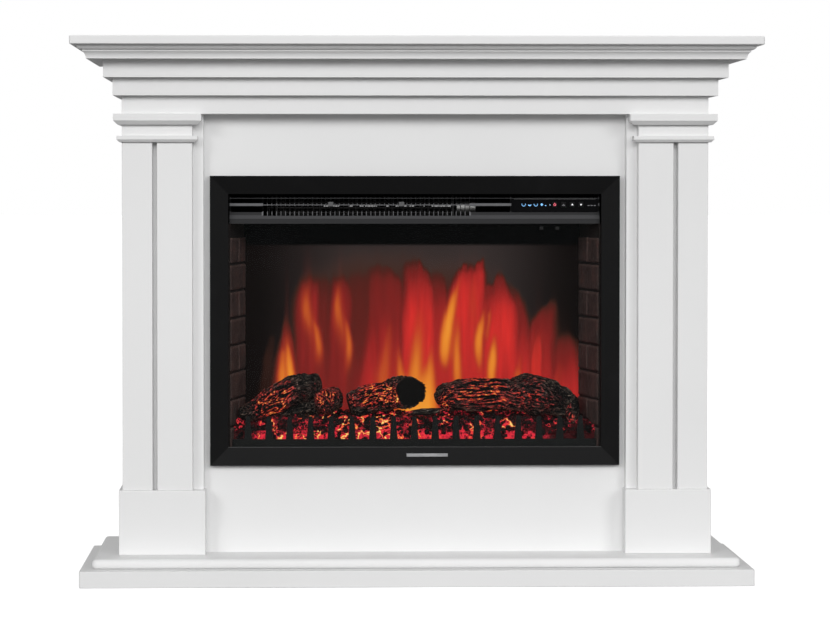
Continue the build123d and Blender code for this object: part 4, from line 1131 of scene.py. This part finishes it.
def bed_mesh(settings):
    """The ember bed as a lumpy sheet between the brick panels."""
    profile = bed_profile()
    brow = profile[1][1]
    low, high = BED_BOX
    lengths = [(Vector(b) - Vector(a)).length for a, b in zip(profile, profile[1:])]
    strips = int(sum(lengths) / BED_STEP)
    columns = int((high[0] - low[0]) / BED_STEP)
    splay = (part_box("brick_panel_right")[0][0] - high[0]) / (high[1] - low[1])
    verts, heats = [], []
    for i in range(strips + 1):
        run = sum(lengths) * i / strips
        k = 0
        while k < len(lengths) - 1 and run > lengths[k]:
            run -= lengths[k]
            k += 1
        (y0, z0), (y1, z1) = profile[k], profile[k + 1]
        share_run = min(1.0, run / lengths[k])
        y, z = y0 + (y1 - y0) * share_run, z0 + (z1 - z0) * share_run
        out = Vector((0.0, -(z1 - z0), (y1 - y0))).normalized()
        half = high[0] - 0.001 + splay * (y - low[1])
        edge = min(1.0, min(i, strips - i) / 6)
        for j in range(columns + 1):
            x = -half + 2 * half * j / columns
            spot = Vector((x, y, z))
            near, _points = noise.voronoi(spot / settings.cell)
            lump = 1.0 - min(1.0, near[0] * 1.15)
            wave = noise.noise(spot * 42.0) + 0.5 * noise.noise(spot * 130.0)
            side_edge = min(1.0, min(j, columns - j) / 6)
            push = (settings.lump * (lump - 0.55) + 0.003 * wave) * edge * side_edge - 0.003
            verts.append(spot + out * push)
            lower = max(0.0, min(1.0, (brow + 0.002 - z) / 0.006))
            ends = max(0.0, min(1.0, (x + 0.284) / 0.034)) * max(0.0, min(1.0, (0.236 - x) / 0.030))
            patch = 0.5 + 0.9 * noise.noise(Vector((x * 24.0, y * 30.0, z * 30.0 + 4.0)))
            above = 0.20 + 0.62 * max(0.0, noise.noise(Vector((x * 30.0 + 7.0, y * 24.0, 2.0))) + 0.25)
            above += 0.30 * exp(-((x + 0.085) / 0.10) ** 2) + 0.10 * exp(-((x - 0.10) / 0.06) ** 2)
            heat = (lower * (0.50 + 0.40 * patch) + (1.0 - lower) * above) * (0.16 + 0.84 * ends)
            heats.append(max(0.0, min(1.0, heat)))
    faces = [
        (i * (columns + 1) + j, i * (columns + 1) + j + 1, (i + 1) * (columns + 1) + j + 1, (i + 1) * (columns + 1) + j)
        for i in range(strips) for j in range(columns)
    ]
    return mesh_from(verts, faces, warmth=heats)


def coal_tree():
    """Coals scattered over a surface, each turned and sized at random and roughened."""
    tree = bpy.data.node_groups.new("loose_coals", "GeometryNodeTree")
    for name, kind in (("Geometry", "Geometry"), ("Density", "Float"), ("Coal Radius", "Float"), ("Seed", "Int"),
                       ("Lowest", "Float"), ("Material", "Material")):
        tree.interface.new_socket(name, in_out="INPUT", socket_type=f"NodeSocket{kind}")
    tree.interface.new_socket("Geometry", in_out="OUTPUT", socket_type="NodeSocketGeometry")
    sheet = Sheet(tree)
    given = sheet.node("NodeGroupInput")
    surface, density, radius, seed, lowest, material = (Value(sheet, given.outputs[i]) for i in range(6))
    place = sheet.value("GeometryNodeInputPosition")
    height = sheet.value("ShaderNodeSeparateXYZ", None, {0: place}, output="Z")
    above = sheet.value("FunctionNodeCompare", {"operation": "GREATER_THAN"}, {0: height, 1: lowest})
    points = sheet.node(
        "GeometryNodeDistributePointsOnFaces", {"distribute_method": "RANDOM"},
        {"Mesh": surface, "Selection": above, "Density": density, "Seed": seed},
    )
    lump = sheet.value("GeometryNodeMeshIcoSphere", None, {"Radius": radius, "Subdivisions": 3})
    turn = sheet.value(
        "FunctionNodeRandomValue", {"data_type": "FLOAT_VECTOR"},
        {0: (0.0, 0.0, 0.0), 1: (2 * pi, 2 * pi, 2 * pi), "Seed": seed + 1},
    )
    size = sheet.value(
        "FunctionNodeRandomValue", {"data_type": "FLOAT_VECTOR"},
        {0: (0.45, 0.35, 0.30), 1: (1.35, 0.95, 0.80), "Seed": seed + 2},
    )
    coals = sheet.value(
        "GeometryNodeInstanceOnPoints", None,
        {"Points": Value(sheet, points.outputs[0]), "Instance": lump, "Rotation": turn, "Scale": size},
    )
    real = sheet.value("GeometryNodeRealizeInstances", None, {0: coals})
    broken = sheet.value("ShaderNodeTexNoise", None, {"Scale": 190.0, "Detail": 3.0, "Roughness": 0.6}, output=1)
    centred = sheet.value(
        "ShaderNodeVectorMath", {"operation": "SUBTRACT"}, {0: broken, 1: (0.5, 0.5, 0.5)}
    )
    push = sheet.value("ShaderNodeVectorMath", {"operation": "SCALE"}, {0: centred, "Scale": radius * 0.95})
    rough = sheet.value("GeometryNodeSetPosition", None, {"Geometry": real, "Offset": push})
    painted = sheet.value("GeometryNodeSetMaterial", None, {"Geometry": rough, "Material": material})
    sheet.node("NodeGroupOutput", None, {"Geometry": painted})
    return tree


class FIREPLACE_OT_ember_bed(bpy.types.Operator):
    """Makes the glowing ember bed and the loose coals on it"""
    bl_idname = "fireplace.ember_bed"
    bl_label = "Ember bed"

    def execute(self, context):
        settings = context.scene.fireplace_embers
        material = glowing_embers(settings)
        coal = ember_coal(settings)
        sheet_mesh = bed_mesh(settings)
        low, high = BED_BOX
        inputs = {
            "Density": settings.density, "Coal Radius": settings.coal, "Seed": settings.seed,
            "Lowest": high[2] - 0.030, "Material": coal,
        }
        coals = grown("loose_coals", coal_tree(), inputs, coal, sheet_mesh.copy())
        belongs(coals)
        holder = add_mesh("bed_sheet", sheet_mesh, material)
        wall = holder.modifiers.new("wall", "SOLIDIFY")
        wall.thickness = 0.0015
        wall.offset = -1.0
        bed = applied(holder, "ember_bed_skin", material)
        belongs(bed)
        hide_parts("ember_bed")
        cover(material, "ember_bed")
        return {"FINISHED"}


# ==== Control panel and small fittings ===========================================================
def lamp(name, colour, strength):
    """A lit mark: brighter in its middle than where the light leaks out."""
    finish = Finish(name)
    cloud = finish.noise(900.0, 2.0)
    dim = tuple(c * 0.6 for c in colour)
    return finish.done(
        Base_Color=finish.mix(cloud, dim, colour), Roughness=0.3,
        Emission_Color=finish.mix(cloud.smooth(0.3, 0.7), dim, colour), Emission_Strength=strength,
    )


class FIREPLACE_OT_control_lights(bpy.types.Operator):
    """Adds the lit symbols and plain marks on the control panel, and a painted highlight along its top edge"""
    bl_idname = "fireplace.control_lights"
    bl_label = "Control panel lights"

    def execute(self, context):
        settings = context.scene.fireplace_panel
        front = PANEL_BOX[0][1]
        middle = PANEL_BOX[0][2] + 0.0125
        relief = settings.relief
        blue = lamp("panel_blue_light", rgb(settings.blue), 0.75)
        faint = lamp("panel_faint_light", (0.30, 0.42, 0.55), 0.5)
        # The grey printed dashes are given a faint glow: painted light, since print is no lamp.
        grey = lamp("panel_grey_print_glow", rgb(settings.grey), 0.35)
        symbols = [
            arc_band(0.1805, middle, 0.0034, 0.0008, 160, 380), arc_band(0.1905, middle, 0.0030, 0.0016, 195, 345),
            arc_band(0.2005, middle, 0.0034, 0.0008, 160, 380), polygon_mark(0.2105, middle - 0.0005, 0.0024, 4),
            bar(0.2168, middle - 0.002, 0.0010, 0.0006),
        ]
        plates("panel_blue_symbols", symbols, front, relief, blue)
        plates(
            "panel_small_lamp", [polygon_mark(0.2240, middle - 0.001, 0.0010, 16)], front, relief, faint,
        )
        dashes = [bar(0.2880 + 0.0052 * i, middle - 0.002, 0.0018, 0.0006) for i in range(3)]
        plates("panel_grey_dashes", dashes, front, relief, grey)
        low, high = PANEL_BOX
        # A grey strip along the panel's top edge: a painted highlight.
        painted_highlight_line = [bar((low[0] + high[0]) / 2, high[2] - 0.0006, (high[0] - low[0]) / 2 - 0.004, 0.0003)]
        plates("panel_top_highlight", painted_highlight_line, front, 0.0003, coated("highlight_grey", (0.10, 0.10, 0.10), 0.3))
        return {"FINISHED"}


class FIREPLACE_OT_button_marks(bpy.types.Operator):
    """Puts a plain symbol on each push button"""
    bl_idname = "fireplace.button_marks"
    bl_label = "Button marks"

    def execute(self, context):
        settings = context.scene.fireplace_panel
        red = lamp("button_red_light", rgb(settings.red), 1.1)
        white = lamp("button_white_light", rgb(settings.white), 0.9)
        grey = lamp("button_grey_light", rgb(settings.grey), 0.6)
        size = 0.0021
        for button, material in (
            ("power_button", red), ("flame_button", grey), ("heat_button", white), ("timer_button", white)
        ):
            low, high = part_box(button)
            x, z = (low[0] + high[0]) / 2, (low[2] + high[2]) / 2
            marks = {
                "power_button": [arc_band(x, z, size, 0.0006, 125, 415, 20), bar(x, z + 0.0016, 0.00035, 0.0011)],
                "flame_button": [bar(x + d, z - 0.0006 + abs(d) * -0.4, 0.0005, 0.0014 - abs(d) * 0.4)
                                 for d in (-0.0018, 0.0, 0.0018)],
                "heat_button": [polygon_mark(x, z, size, 3)],
                "timer_button": [polygon_mark(x, z, size, 3, -90)],
            }[button]
            plates(f"{button}_mark", marks, low[1], settings.relief, material, button)
        return {"FINISHED"}


def soft_block(name, low, high, bevel, material, body=MANTEL_BODY):
    """A small block with rounded edges."""
    sketch = bmesh.new()
    centre, size = (Vector(low) + Vector(high)) / 2, Vector(high) - Vector(low)
    shape = Matrix.Translation(centre) @ Matrix.Diagonal((*size, 1.0))
    bmesh.ops.create_cube(sketch, size=1.0, matrix=shape)
    bmesh.ops.bevel(sketch, geom=list(sketch.edges), offset=bevel, segments=3, affect="EDGES", profile=0.5)
    mesh = bpy.data.meshes.new(name)
    sketch.to_mesh(mesh)
    sketch.free()
    piece = add_mesh(name, mesh, material, smooth=False)
    belongs(piece, body)
    return piece


class FIREPLACE_OT_small_fittings(bpy.types.Operator):
    """Adds the blade clips, the glass clips and the blank badge"""
    bl_idname = "fireplace.small_fittings"
    bl_label = "Small fittings"

    def execute(self, context):
        steel = coated("clip_grey", (0.10, 0.10, 0.102), 0.32)
        black = coated("clip_black", (0.010, 0.010, 0.010), 0.35)
        badge = metal("badge_grey", (0.52, 0.52, 0.53), 0.38)
        blade = GRILLE_BOX[0][2] + 0.0295
        for i, x in enumerate((-0.139, -0.022)):
            soft_block(
                f"blade_clip_{i + 1}", (x - 0.0045, -0.0425, blade - 0.001), (x + 0.0045, -0.036, blade + 0.0065),
                0.0008, steel,
            )
        lip = GRILLE_BOX[0][2]
        for i, x in enumerate((0.2094, 0.2358)):
            soft_block(
                f"glass_clip_{i + 1}", (x - 0.0026, -0.0462, lip - 0.010), (x + 0.0026, -0.0442, lip - 0.005),
                0.0006, black,
            )
        low, high = TRIM_BOX
        middle = (low[2] + high[2]) / 2 + 0.002
        soft_block(
            "blank_badge", (-0.014, low[1] - 0.0004, middle - 0.0026), (0.054, low[1] + 0.0002, middle + 0.0026),
            0.0002, badge,
        )
        return {"FINISHED"}


# ==== Add-on =====================================================================================
SETTINGS = {
    "fireplace_stage": StageSettings,
    "fireplace_cabinet": CabinetSettings,
    "fireplace_firebox": FireboxSettings,
    "fireplace_bricks": BrickSettings,
    "fireplace_flames": FlameSettings,
    "fireplace_logs": LogSettings,
    "fireplace_embers": EmberSettings,
    "fireplace_panel": PanelSettings,
}
OPERATORS = (
    FIREPLACE_OT_stage,
    FIREPLACE_OT_cabinet,
    FIREPLACE_OT_metalwork,
    FIREPLACE_OT_glass,
    FIREPLACE_OT_bricks,
    FIREPLACE_OT_flame_picture,
    FIREPLACE_OT_logs,
    FIREPLACE_OT_ember_bed,
    FIREPLACE_OT_control_lights,
    FIREPLACE_OT_button_marks,
    FIREPLACE_OT_small_fittings,
)


class FIREPLACE_PT_sidebar(bpy.types.Panel):
    """Lists the steps and settings of the fireplace"""
    bl_idname = "FIREPLACE_PT_sidebar"
    bl_label = "Fireplace"
    bl_space_type = "VIEW_3D"
    bl_region_type = "UI"
    bl_category = "Fireplace"

    def draw(self, context):
        for operator in OPERATORS:
            self.layout.operator(operator.bl_idname)
        for name, group in SETTINGS.items():
            box = self.layout.box()
            box.label(text=group.__name__)
            for field in group.__annotations__:
                box.prop(getattr(context.scene, name), field)


def register():
    for group in SETTINGS.values():
        bpy.utils.register_class(group)
    for name, group in SETTINGS.items():
        setattr(bpy.types.Scene, name, bpy.props.PointerProperty(type=group))
    for operator in OPERATORS:
        bpy.utils.register_class(operator)
    bpy.utils.register_class(FIREPLACE_PT_sidebar)


def unregister():
    bpy.utils.unregister_class(FIREPLACE_PT_sidebar)
    for operator in reversed(OPERATORS):
        bpy.utils.unregister_class(operator)
    for name, group in SETTINGS.items():
        delattr(bpy.types.Scene, name)
        bpy.utils.unregister_class(group)


def main():
    register()
    for operator in OPERATORS:
        group, name = operator.bl_idname.split(".")
        getattr(getattr(bpy.ops, group), name)()


if __name__ == "__main__":
    main()
